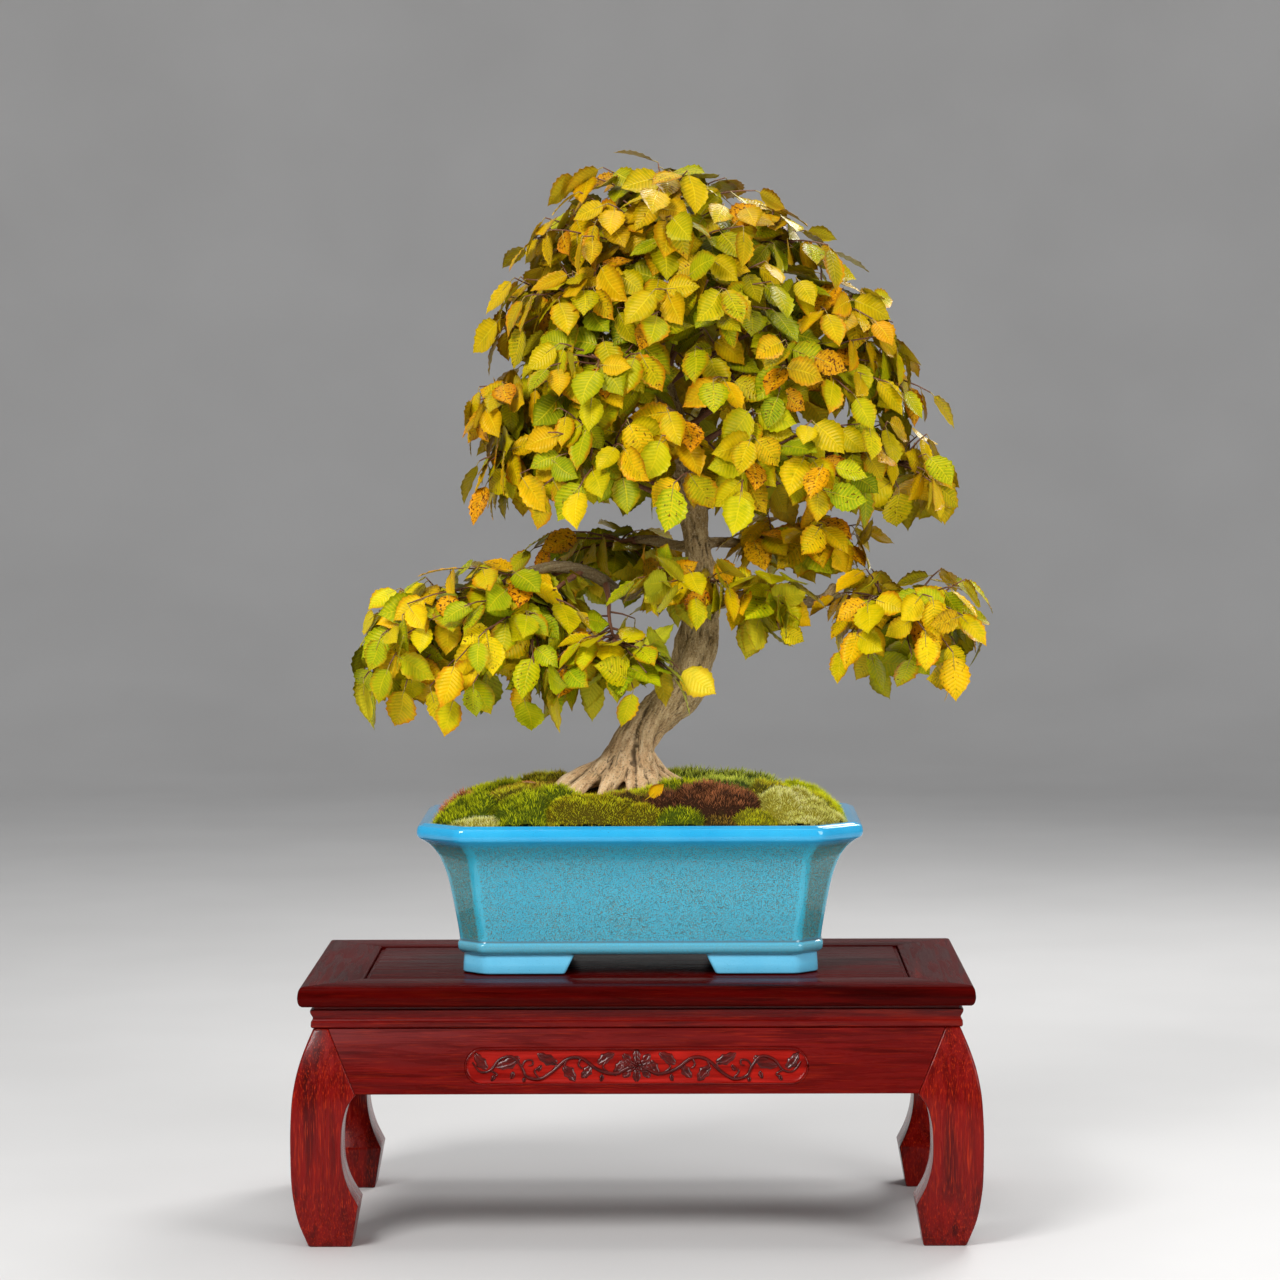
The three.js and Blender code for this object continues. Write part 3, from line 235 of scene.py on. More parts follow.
def finish_piece(name, mesh, material, slot, instead, attributes):
    for key, values in (attributes or {}).items():
        layer = mesh.color_attributes.new(key, "FLOAT_COLOR", "POINT")
        flat = np.ones((len(mesh.vertices), 4), dtype=np.float32)
        flat[:, :3] = values
        layer.data.foreach_set("color", flat.ravel())
    mesh.polygons.foreach_set("use_smooth", [True] * len(mesh.polygons))
    mesh.validate()
    mesh.update()
    piece = linked(bpy.data.objects.new(name, mesh))
    mesh.materials.append(material)
    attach(piece, "root")
    if instead:
        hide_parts(*instead)
    return piece


def linked(thing):
    bpy.context.scene.collection.objects.link(thing)
    return thing


class Heap:
    """Points and faces of many like things, for one mesh."""

    def __init__(self):
        self.points = []
        self.faces = []
        self.values = {}
        self.count = 0

    def add(self, points, faces, **values):
        points = np.asarray(points, dtype=float)
        self.points.append(points)
        self.faces.append(np.asarray(faces) + self.count)
        for key, value in values.items():
            filled = np.broadcast_to(np.asarray(value, dtype=float), (len(points), 3))
            self.values.setdefault(key, []).append(filled)
        self.count += len(points)

    def whole(self):
        """All the points, and all the faces as one list."""
        return np.concatenate(self.points), [face for block in self.faces for face in block.tolist()]

    def make(self, name, material, slot, instead=()):
        attributes = {key: np.concatenate(rows) for key, rows in self.values.items()}
        return make(name, *self.whole(), material, slot, instead, attributes)


def ring_faces(rings, sides):
    k = np.arange(sides)
    faces = []
    for low in range(0, (rings - 1) * sides, sides):
        a, b = low + k, low + (k + 1) % sides
        faces.append(np.stack([a, b, b + sides, a + sides], axis=1))
    return np.concatenate(faces)


def halved(quads):
    """Each quad as two triangles."""
    return np.concatenate([quads[:, [0, 1, 2]], quads[:, [0, 2, 3]]])


def tube_points(points, radii, sides, flute=None):
    points = np.asarray(points, dtype=float)
    turn = np.arange(sides) * 2 * math.pi / sides
    rings = []
    side = None
    for i, point in enumerate(points):
        along = unit(points[min(i + 1, len(points) - 1)] - points[max(i - 1, 0)])
        if side is None:
            side = vec(0, 0, 1) if abs(along[2]) < 0.9 else vec(1, 0, 0)
        side = unit(side - along * side.dot(along))
        cross = np.cross(along, side)
        r = radii[i] * (flute(turn, i / (len(points) - 1)) if flute else 1)
        r = np.broadcast_to(r, turn.shape)
        rings.append(point + np.outer(r * np.cos(turn), side) + np.outer(r * np.sin(turn), cross))
    return np.concatenate(rings)


def closed_tube(points, radii, sides, flute=None):
    """Points and triangles of a tube whose ends close to a point."""
    shell = tube_points(points, radii, sides, flute)
    rings = len(points)
    triangles = halved(ring_faces(rings, sides))
    ends = np.array([points[0], points[-1]], dtype=float)
    first, last = len(shell), len(shell) + 1
    k = np.arange(sides)
    start = np.stack([(k + 1) % sides, k, np.full(sides, first)], axis=1)
    top = (rings - 1) * sides
    end = np.stack([top + k, top + (k + 1) % sides, np.full(sides, last)], axis=1)
    return np.concatenate([shell, ends]), np.concatenate([triangles, start, end])


def smooth_rows(rows, steps):
    """A smooth curve through rows of numbers."""
    rows = np.asarray(rows, dtype=float)
    padded = np.vstack([2 * rows[0] - rows[1], rows, 2 * rows[-1] - rows[-2]])
    out = []
    for i in range(len(rows) - 1):
        p0, p1, p2, p3 = padded[i:i + 4]
        for t in np.arange(steps) / steps:
            out.append(0.5 * (2 * p1 + (p2 - p0) * t + (2 * p0 - 5 * p1 + 4 * p2 - p3) * t * t
                              + (3 * p1 - p0 - 3 * p2 + p3) * t ** 3))
    out.append(rows[-1])
    return np.array(out)


def rounded(corners, radius, steps=3):
    """The outline of a polygon in a plane, with each corner eased by a short curve."""
    corners = [np.asarray(c, dtype=float) for c in corners]
    count = len(corners)
    radii = radius if isinstance(radius, (list, tuple)) else [radius] * count
    out = []
    for i, corner in enumerate(corners):
        before, after = corners[i - 1], corners[(i + 1) % count]
        back = min(radii[i], 0.45 * np.linalg.norm(before - corner))
        on = min(radii[i], 0.45 * np.linalg.norm(after - corner))
        a = corner + unit(before - corner) * back
        b = corner + unit(after - corner) * on
        for t in np.linspace(0, 1, steps + 1):
            out.append((1 - t) ** 2 * a + 2 * t * (1 - t) * corner + t * t * b)
    return np.array(out)


def loft(rings, cap=True):
    """Points and faces of a skin over rings of equal length."""
    rings = [np.asarray(ring, dtype=float) for ring in rings]
    sides = len(rings[0])
    faces = ring_faces(len(rings), sides).tolist()
    if cap:
        faces.append(list(range(sides))[::-1])
        faces.append(list(range((len(rings) - 1) * sides, len(rings) * sides)))
    return np.concatenate(rings), faces


def welded(mesh, sharp):
    """Join points that coincide, and keep edges above an angle crisp."""
    distance = 1e-6
    work = bmesh.new()
    work.from_mesh(mesh)
    bmesh.ops.remove_doubles(work, verts=work.verts, dist=distance)
    bmesh.ops.dissolve_degenerate(work, edges=work.edges, dist=distance)
    bmesh.ops.recalc_face_normals(work, faces=work.faces)
    work.to_mesh(mesh)
    work.free()
    mesh.set_sharp_from_angle(angle=math.radians(sharp))


def direction(degrees):
    return math.cos(math.radians(degrees)), math.sin(math.radians(degrees))


def turned(points, degrees):
    """Points turned about the middle of the stand."""
    c, s = direction(degrees)
    x, y = points[:, 0].copy(), points[:, 1].copy()
    return np.stack([c * x - s * y, s * x + c * y, points[:, 2]], axis=1)


# Stand

SIDES = [("front", 0), ("right", 90), ("back", 180), ("left", 270)]


def read_row(rows, z):
    """The first number of rows of (number, height) at a height, on a smooth curve."""
    rows = sorted(rows, key=lambda row: row[1])
    heights = np.array([row[1] for row in rows], dtype=float)
    values = np.array([row[0] for row in rows], dtype=float)
    i = int(np.clip(np.searchsorted(heights, z) - 1, 0, len(rows) - 2))
    slopes = np.gradient(values, heights)
    gap = heights[i + 1] - heights[i]
    t = np.clip((z - heights[i]) / gap, 0, 1)
    return float((2 * t ** 3 - 3 * t ** 2 + 1) * values[i] + (t ** 3 - 2 * t ** 2 + t) * gap * slopes[i]
                 + (3 * t ** 2 - 2 * t ** 3) * values[i + 1] + (t ** 3 - t ** 2) * gap * slopes[i + 1])


def outer_inset(z):
    return read_row(LEG_OUTER, z)


def seam_inset(z):
    """Where a leg meets the aprons beside it."""
    foot = LEG_INNER[-1]
    return mix(foot[0], SHOULDER_TOP[0], (z - foot[1]) / (SHOULDER_TOP[1] - foot[1]))


def inner_inset(z):
    if z >= LEG_INNER[-1][1]:
        return seam_inset(z)
    if z < KNEE:
        return read_row([row for row in LEG_INNER if row[1] <= KNEE], z)
    return read_row([row for row in LEG_INNER if row[1] >= KNEE], z)


def mitred(inset, z):
    return inset + GAP / 2


def board(profile, angle, end_inset):
    """A board along one side of the stand, from its profile of (inset, height)."""
    across = angle % 180 == 0
    along = STAND["half_width"] if across else STAND["half_depth"]
    away = STAND["half_depth"] if across else STAND["half_width"]
    points, faces = loft([[(end * (along - end_inset(inset, z)), inset - away, z) for inset, z in profile]
                          for end in (-1, 1)])
    return turned(points, angle), faces


def stand_piece(name, shape, look, sharp=40, slot="stand_wood", finish="polished", attributes=None):
    piece = make(f"{finish}_{name}", *shape, look, slot, [name], attributes)
    welded(piece.data, sharp)


def four_boards(kind, profile, look_x, look_y, sharp=40):
    """Boards round the stand with mitred corners."""
    for side, angle in SIDES:
        look = look_x if angle % 180 == 0 else look_y
        stand_piece(f"stand_{kind}_{side}", board(profile, angle, mitred), look, sharp)


def build_top(wood):
    top = STAND["top"]
    bottom = top - STAND["slab"]
    frame_in = STAND["frame"]
    nose = smooth_rows([(4.8, top), (2.2, top - 0.8), (0.7, top - 3.4), (0.1, top - 7), (0, top - 9.6),
                        (0.5, top - 12.6), (1.6, top - 14.8), (3.4, bottom)], 3)
    rail = [(frame_in, top - 0.9), (frame_in - 0.3, top - 0.25), (frame_in - 1, top), *nose,
            (frame_in, bottom)]
    four_boards("top_rail", rail, wood["top_x"], wood["top_y"])

    half_x = STAND["half_width"] - frame_in - STAND["panel_gap"]
    half_y = STAND["half_depth"] - frame_in - STAND["panel_gap"]
    levels = [(0, top - 10), (0, top - 2.4), (0.3, top - 1.8), (1, top - 1.6), (2.6, top - 1.6),
              (3, top - 1.3), (3.5, top - 0.6), (4.4, top - 0.4)]
    rings = [[(sx * (half_x - inset), sy * (half_y - inset), z)
              for sx, sy in [(-1, -1), (1, -1), (1, 1), (-1, 1)]] for inset, z in levels]
    stand_piece("stand_top_panel", loft(rings), wood["top_x"], 20, "stand_panel")


def build_waist(wood):
    top, bottom = STAND["top"] - STAND["slab"] - GAP, SHOULDER_TOP[1] + GAP
    moulding = smooth_rows([(9, top - 3.2), (9.2, top - 5), (10.2, top - 7.2), (11, top - 9),
                            (10.4, top - 11), (9.6, top - 12)], 3)
    strip = [(24, top), (12.4, top), (12, top - 0.4), (12, top - 2.4), (11.6, top - 2.8), (9.5, top - 2.9),
             *moulding, (9.4, bottom + 1.8), (9.5, bottom + 1), (10.4, bottom), (24, bottom)]
    four_boards("waist", strip, wood["x"], wood["y"], 30)


def build_legs(wood):
    top = SHOULDER_TOP[1]
    bevel = 0.8
    levels = np.unique([*np.linspace(0, top, 58), bevel, KNEE, LEG_INNER[-1][1], top - bevel])
    for front_back, sy in (("front", -1), ("back", 1)):
        for left_right, sx in (("left", -1), ("right", 1)):
            rings = []
            for z in levels:
                ease = 0.7 * max(0.0, 1 - z / bevel) + 0.5 * max(0.0, 1 - (top - z) / bevel)
                near, far = outer_inset(z) + ease, inner_inset(z) - ease
                ring = rounded([(near, near), (far, near), (far, far), (near, far)], [2.2, 1.4, 1.6, 1.4], 4)
                rings.append([(sx * (STAND["half_width"] - x), sy * (STAND["half_depth"] - y), z)
                              for x, y in ring])
            stand_piece(f"stand_leg_{front_back}_{left_right}", loft(rings), wood["leg"], 50)


def build_aprons(wood):
    low, high = STAND["apron_bottom"], SHOULDER_TOP[1] - GAP / 2
    thick = STAND["apron_thickness"]
    foot, head = outer_inset(low), outer_inset(high)
    profile = [(foot + thick, low), (foot + 1.3, low), (foot + 0.4, low + 0.4)]
    profile += [(outer_inset(z), z) for z in np.linspace(low + 1.2, high - 0.5, 16)]
    profile += [(head + 0.6, high), (head + thick, high)]
    for side, angle in SIDES:
        if side != "front":
            shape = board(profile, angle, lambda inset, z: seam_inset(z) + GAP)
            stand_piece(f"stand_apron_{side}", shape, wood["apron" if angle % 180 == 0 else "y"])
            continue
        shape = carved_board(low, high, thick)
        x, _, z = shape[0].T
        beyond = np.maximum(np.abs(x) - CARTOUCHE["half_length"] + CARTOUCHE["half_height"], 0)
        away = np.hypot(beyond, z - CARTOUCHE["height"])
        sunk = away < CARTOUCHE["half_height"] - 0.3
        stand_piece(f"stand_apron_{side}", shape, wood["field"], 35, finish="carved",
                    attributes={"field": np.repeat(sunk[:, None], 3, axis=1)})


def carved_board(low, high, thick):
    """The front apron: a board with a sunk field that has round ends."""
    round_from = CARTOUCHE["half_length"] - CARTOUCHE["half_height"]
    middle = CARTOUCHE["height"]
    half = CARTOUCHE["half_height"]
    # radius of the outline and depth under the face, from outside in
    steps = [(half + 1.7, 0.0), (half + 1.2, 0.55), (half + 0.7, 0.1), (half + 0.3, 0.0),
             (half - 0.1, 0.35), (half - 0.4, 1.2), (half - 0.5, CARTOUCHE["depth"] - 0.3),
             (half - 0.9, CARTOUCHE["depth"])]
    turns = np.radians(np.linspace(0, 90, 13))
    straight = np.linspace(0, round_from, 24)
    columns = [(x, 1.0, 0.0) for x in straight[:-1]]
    columns += [(round_from, math.cos(turn), math.sin(turn)) for turn in turns]

    def end_of(z):
        return STAND["half_width"] - seam_inset(z) - GAP

    def face_y(z):
        return outer_inset(z) - STAND["half_depth"]

    rings = []
    for x, upright, sideways in columns:
        ring = []
        outer = steps[0][0]
        reach = outer * upright
        for z in np.linspace(low + 0.5, middle - reach, 8)[:-1]:
            ring.append((x + outer * sideways, face_y(z), z))
        for radius, depth in steps:
            z = middle - radius * upright
            ring.append((x + radius * sideways, face_y(z) + depth, z))
        floor = steps[-1][0]
        for v in np.linspace(-1, 1, 7)[1:-1]:
            z = middle + v * floor * upright
            ring.append((x + floor * sideways, face_y(z) + CARTOUCHE["depth"], z))
        for radius, depth in reversed(steps):
            z = middle + radius * upright
            ring.append((x + radius * sideways, face_y(z) + depth, z))
        for z in np.linspace(middle + reach, high - 0.4, 8)[1:]:
            ring.append((x + outer * sideways, face_y(z), z))
        rings.append(ring)
    start = round_from + steps[0][0]
    flat = [row[2] for row in rings[-1]]
    for t in np.linspace(0, 1, 8)[1:]:
        rings.append([(mix(start, end_of(z), t), face_y(z), z) for z in flat])
    closed = []
    for ring in rings:
        x_low, x_high = ring[0][0], ring[-1][0]
        back = [(x_high, face_y(high) + 0.5, high), (x_high, face_y(high) + thick, high),
                (x_low, face_y(low) + thick, low), (x_low, face_y(low) + 0.7, low)]
        closed.append(np.array(ring + back))
    # the left half mirrors the right one
    mirrored = [ring * [-1, 1, 1] for ring in closed[:0:-1]]
    return loft(mirrored + closed)


# x, height, length, width and turn of each carved leaf right of the flower
SCROLL_LEAVES = [
    (121, 3.4, 17, 9.4, 51), (99.5, 2, 22, 10.5, -20), (69.5, 5, 19, 9.6, 24), (51.5, -5.6, 16, 10, 230),
    (38.5, -4.6, 13.5, 8.6, -51), (24, 6, 17, 9, 149), (13.5, -2, 15, 9, -60), (96, -7, 7, 4.6, -70),
    (87, -10.4, 4.8, 3.8, -90), (27, -9, 6.4, 4.2, -80), (111, -9, 6, 4, -60), (75, -1.5, 6.4, 4.2, 120),
]
# count, distance from the middle, length, width and rise of each ring of petals
PETALS = [(8, 9.6, 9, 8, 1.7), (6, 6, 7.6, 7, 2.4), (5, 3, 5, 4.6, 3)]
VINE = [(8, -2), (14, -5), (21, -5.4), (31, -2), (43, 6), (54, 5), (65, -4), (75, -9.6), (85, -7.6),
        (89, -0.6), (96, 7), (106, 5), (113, -3), (121, -4), (127, 3)]
SHOOTS = [
    [(89, -0.6), (86, 4), (81, 4.4), (80.5, 1), (83.5, 0.4)], [(21, -5.4), (26, -1), (24, 3)],
    [(43, 6), (45, 1), (42, -2)], [(54, 5), (56, 0), (54, -3)], [(65, -4), (62, 1), (66, 4)],
    [(113, -3), (108, -6), (110, -8)], [(75, -9.6), (79, -4), (76, -1)],
]


def build_scroll(look):
    """Flower, vine and leaves that stand in the sunk field of the front apron."""
    heap = Heap()

    def set_in(flat, rise):
        flat = np.asarray(flat)
        z = CARTOUCHE["height"] + flat[:, 1]
        floor = np.array([outer_inset(value) - STAND["half_depth"] + CARTOUCHE["depth"] + 0.3
                          for value in z])
        return np.stack([flat[:, 0], floor - rise, z], axis=1)

    def domed(centre, long, wide, turn, high, mirror=1, lobes=0, curl=0.0):
        """A leaf or petal as a low dome with a groove down its middle."""
        rows, columns = 13, 9
        c, s = direction(turn)
        flat, rise = [], []
        for i in range(rows):
            u = i / (rows - 1)
            wave = 1 + 0.16 * math.sin(lobes * math.pi * u) if lobes else 1
            half = wide / 2 * math.sin(math.pi * min(u, 0.999)) ** 0.72 * (1.12 - 0.35 * u) * wave
            for j in range(columns):
                v = 2 * j / (columns - 1) - 1
                x = (u - 0.5) * long
                y = v * half + curl * (u - 0.5) ** 2 * long
                flat.append((mirror * (centre[0] + x * c - y * s), centre[1] + x * s + y * c))
                groove = 0.45 * math.exp(-(v / 0.2) ** 2)
                ribs = 0.12 * math.cos(5 * math.pi * (2 * u - abs(v)))
                side = max(1 - v * v, 0) ** 0.5
                rise.append(high * (side * (0.75 + ribs) - groove) * math.sin(math.pi * u) ** 0.35)
        points = set_in(flat, np.array(rise) - 0.2)
        k = np.arange((rows - 1) * columns).reshape(rows - 1, columns)[:, :-1].ravel()
        faces = np.stack([k, k + 1, k + 1 + columns, k + columns], axis=1)
        heap.add(points, faces if mirror > 0 else faces[:, ::-1])

    curves = [(smooth_rows(VINE, 6), 1.35)] + [(smooth_rows(rows, 5), 0.8) for rows in SHOOTS]
    for mirror in (1, -1):
        for curve, thick in curves:
            path = set_in(curve * [mirror, 1], np.full(len(curve), 1.0))
            radii = [thick * (1 - 0.45 * (i / len(path)) ** 3) for i in range(len(path))]
            heap.add(*closed_tube(path, radii, 8))
        for x, z, long, wide, turn in SCROLL_LEAVES:
            domed((x, z), long, wide, turn, 2.1, mirror, lobes=6, curl=0.2)
    for ring, (count, reach, long, wide, high) in enumerate(PETALS):
        for k in range(count):
            turn = 360 * (k + 0.5 * ring) / count
            c, s = direction(turn)
            domed((reach * c * 1.15, reach * s * 0.86), long, wide, turn, high)
    domed((0, 0), 3.4, 3.8, 0, 3.1)
    piece = heap.make("carved_flower_scroll", look, "stand_wood")
    piece.data.set_sharp_from_angle(angle=math.radians(60))


# Pot

def octagon(half_x, cut):
    """Corners of the pot's outline in plan: an oblong with its corners cut off."""
    half_y = half_x - POT["less_deep"]
    x = POT["x"]
    return [(x + half_x - cut, -half_y), (x + half_x, cut - half_y), (x + half_x, half_y - cut),
            (x + half_x - cut, half_y), (x - half_x + cut, half_y), (x - half_x, half_y - cut),
            (x - half_x, cut - half_y), (x - half_x + cut, -half_y)]


def pot_ring(half_x, cut, z, ease):
    return [(x, y, z) for x, y in rounded(octagon(half_x, cut), ease, 5)]


def pot_inside():
    """Rows of (half-width, height, cut) inside the pot, from its floor up to its mouth."""
    rows = []
    for z in (POT["floor"], 262, 284, 299, 308):
        half, cut = pot_at(z)
        rows.append((half - POT["wall"], z, cut - POT["wall"] * 0.6))
    rim = POT_PROFILE[-1]
    mouth = rim[0] - POT["lip"]
    return rows + [(mouth - 1, 319, rim[2] - 6), (mouth, rim[1], rim[2] - 5.5)]


def pot_at(z):
    rows = sorted(POT_PROFILE, key=lambda row: row[1])
    heights = [row[1] for row in rows]
    return tuple(float(np.interp(z, heights, [row[k] for row in rows])) for k in (0, 2))


def pot_rows():
    """Rows of (half-width, height, cut) up the outside of the pot, over its lip and down inside."""
    outside = smooth_rows(POT_PROFILE[:4], 3)[:-1].tolist() + smooth_rows(POT_PROFILE[3:], 4).tolist()
    half, top, cut = POT_PROFILE[-1]
    lip = [(half - 1.2, top + 0.9, cut - 0.4), (half - 3, top + 1.1, cut - 1.2),
           (half - 6.4, top + 1, cut - 3.2), (half - 8.2, top + 0.3, cut - 4.6)]
    inside = [list(row) for row in pot_inside()[::-1]]
    inside[0][1] = top - 1.4
    return outside + lip + inside


def pot_foot(sx, sy):
    """One foot: an angle in plan that grows a little towards the stand."""
    bottom, top = STAND["top"] + GAP, POT_PROFILE[0][1] + 1
    cut, cut_in = 17, 11
    rings = []
    for z, ease in [(bottom, 1.4), (bottom + 0.4, 0.5), (bottom + 1.3, 0.0), (bottom + 8, 0.0),
                    (top - 1.4, 0.0), (top, 0.0)]:
        t = (z - bottom) / (top - 1 - bottom)
        half = POT["foot_half"] - 0.6 - 1.0 * t - ease
        half_y = half - POT["less_deep"]
        wall = POT["foot_wall"] - 2 * ease
        ix = POT["opening"] / 2 + mix(6, -2, t) + ease
        iy = POT["side_opening"] / 2 + mix(6, -2, t) + ease
        corner = [(ix, half_y), (half - cut, half_y), (half, half_y - cut), (half, iy),
                  (half - wall, iy), (half - wall, half_y - wall - cut_in),
                  (half - wall - cut_in, half_y - wall), (ix, half_y - wall)]
        outline = rounded(corner, [2.5, 5, 5, 2.5, 2, 4, 4, 2], 4)
        rings.append([(POT["x"] + sx * x, sy * y, z) for x, y in outline])
    return loft(rings)


def build_pot(glaze):
    rows = pot_rows()
    rings = [pot_ring(half, cut, z, 5.5 if z > POT["band_top"] else 4) for half, z, cut in rows]
    points, faces = loft(rings, cap=False)
    blocks = [points]
    count = len(points)
    sides = len(rings[0])

    # the underside and the floor inside, each with its two drain holes, and the holes' walls
    around = 24
    holes = [[(POT["x"] + side * POT["hole_x"] + POT["hole_radius"] * math.cos(2 * math.pi * k / around),
               POT["hole_radius"] * math.sin(2 * math.pi * k / around)) for k in range(around)]
             for side in (-1, 1)]
    edges = []
    for z, start in ((rows[0][1], 0), (rows[-1][1], (len(rows) - 1) * sides)):
        index = list(range(start, start + sides))
        loops = [[Vector(points[i]) for i in index]]
        for hole in holes:
            edges.append(list(range(count, count + around)))
            index += edges[-1]
            blocks.append(np.array([(x, y, z) for x, y in hole]))
            loops.append([Vector(point) for point in blocks[-1]])
            count += around
        faces += [[index[corner] for corner in triangle] for triangle in tessellate_polygon(loops)]
    for low, high in (edges[0::2], edges[1::2]):
        for k in range(around):
            n = (k + 1) % around
            faces.append([low[k], low[n], high[n], high[k]])

    for sx in (1, -1):
        for sy in (1, -1):
            foot_points, foot_faces = pot_foot(sx, sy)
            faces += [[i + count for i in face] for face in foot_faces]
            blocks.append(foot_points)
            count += len(foot_points)

    # red on the cut corners, green along the arrises beside them
    points = np.concatenate(blocks)
    body = len(rows) * sides
    profile = np.repeat(np.array(rows), sides, axis=0)
    u, v = np.abs(points[:body, 0] - POT["x"]), np.abs(points[:body, 1])
    short = 2 * profile[:, 0] - POT["less_deep"] - profile[:, 2] - u - v
    corner = np.zeros((len(points), 3))
    corner[:body, 0] = np.clip(1 - short / 1.2, 0, 1)
    corner[:body, 1] = [0.0 if k % 6 in (0, 5) else 1.0 for k in range(sides)] * len(rows)
    pot = make("glazed_pot", points, faces, glaze, "glaze", ["pot"], {"corner": corner})
    welded(pot.data, sharp=55)


# Soil and moss

def towards_edge(x, y):
    """0 in the middle of the soil and 1 along its edge."""
    half_x = SOIL["half_width"]
    half_y = half_x - POT["less_deep"]
    power = SOIL["power"]
    return (np.abs((x - POT["x"]) / half_x) ** power + np.abs(y / half_y) ** power) ** (1 / power)


def soil_height(x, y):
    s = np.minimum(towards_edge(x, y), 1)
    away = ((x - DIP["x"]) / DIP["half_length"]) ** 2 + ((y - DIP["y"]) / DIP["half_width"]) ** 2
    return (SOIL["edge"] + (SOIL["crown"] - SOIL["edge"]) * (1 - s ** SOIL["flat"])
            - DIP["depth"] * np.exp(-away ** 2))


# middle, radii, rise over the soil, and kind
CUSHIONS = [
    (-134, -54, 24, 22, 15, "green"), (-126, -86, 20, 9, 8, "pale"), (-90, -76, 21, 18, 13, "green"),
    (-98, -44, 20, 14, 11, "mixed"), (-38, -80, 33, 14, 11, "olive"), (4, -86, 13, 8, 8, "olive"),
    (-66, -52, 22, 13, 11, "green"), (-92, -20, 26, 16, 8, "brown_green"), (-146, -20, 16, 22, 12, "sprig"),
    (-14, -62, 20, 8, 8, "dark"), (-6, -46, 27, 12, 10, "fine"), (24, -66, 14, 12, 8, "brown"),
    (36, -90, 17, 8, 7, "green"), (60, -66, 36, 22, 12, "brown"), (32, -36, 22, 12, 10, "green"),
    (66, -92, 12, 6, 6, "dark"), (92, -88, 16, 8, 8, "fine"), (128, -62, 30, 24, 16, "pale"),
    (144, -28, 20, 16, 12, "fine"), (106, -32, 20, 14, 12, "mixed"), (72, -30, 24, 14, 11, "star"),
    (44, 18, 26, 18, 12, "star"), (90, 40, 30, 24, 12, "star"), (136, 24, 22, 30, 11, "green"),
    (34, 60, 30, 22, 11, "mixed"), (78, 76, 30, 16, 10, "star"), (-24, 66, 30, 24, 11, "green"),
    (-34, 26, 24, 18, 8, "dark"), (-74, 26, 28, 22, 11, "mixed"), (-114, 12, 26, 20, 10, "green"),
    (-84, 66, 30, 22, 11, "star"), (-134, 48, 22, 22, 10, "mixed"), (-58, -10, 20, 14, 7, "dark"),
    (-40, -34, 20, 12, 5, "brown_green"),
]
# height and width of a tuft, spacing, spread and clump size, then colours low and high; the low colour at a
# tuft's foot is partly its own colour and partly painted shade
MOSS_KINDS = {
    "green": (3.6, 0.66, 1.12, 0.4, 3.4, (0.07, 0.1, 0.004), (0.85, 0.9, 0.006)),
    "fine": (2.4, 0.55, 1.0, 0.3, 2.6, (0.16, 0.15, 0.006), (1.5, 1.3, 0.02)),
    "olive": (1.8, 0.6, 0.95, 0.25, 2.6, (0.1, 0.075, 0.003), (1.7, 1.3, 0.015)),
    "mixed": (3.0, 0.66, 1.15, 0.5, 3.0, (0.09, 0.075, 0.006), (1.0, 0.8, 0.02)),
    "brown_green": (2.6, 0.66, 1.15, 0.5, 2.8, (0.08, 0.05, 0.01), (0.8, 0.5, 0.03)),
    "brown": (3.6, 0.62, 1.15, 0.5, 2.6, (0.04, 0.015, 0.006), (0.5, 0.17, 0.06)),
    "dark": (2.4, 0.64, 1.2, 0.5, 2.8, (0.05, 0.03, 0.006), (0.5, 0.28, 0.03)),
    "pale": (2.0, 0.56, 0.9, 0.25, 2.8, (0.3, 0.25, 0.02), (2.4, 2.1, 0.35)),
    "star": (4.4, 0.75, 1.4, 0.6, 4.6, (0.05, 0.08, 0.008), (0.75, 0.85, 0.08)),
    "sprig": (4.4, 0.7, 1.5, 0.7, 4.0, (0.12, 0.03, 0.015), (0.8, 0.22, 0.08)),
}


TUFT_SHARE = 0.75  # share of the places that carry a tuft


def to_the_rim(x, y):
    """0 in the middle of the pot and 1 along the inner edge of its lip."""
    rim = POT_PROFILE[-1]
    half_x = rim[0] - POT["lip"] - 0.5
    half_y = half_x - POT["less_deep"]
    cut = rim[2] - 5.5
    u, v = np.abs(x - POT["x"]), np.abs(y)
    return np.maximum(np.maximum(u / half_x, v / half_y), (u + v) / (half_x + half_y - cut))


def flat_noise(x, y, size, octaves, seed):
    return layered_noise(np.stack([x / size, y / size, np.zeros_like(x)], axis=1), octaves, seed)


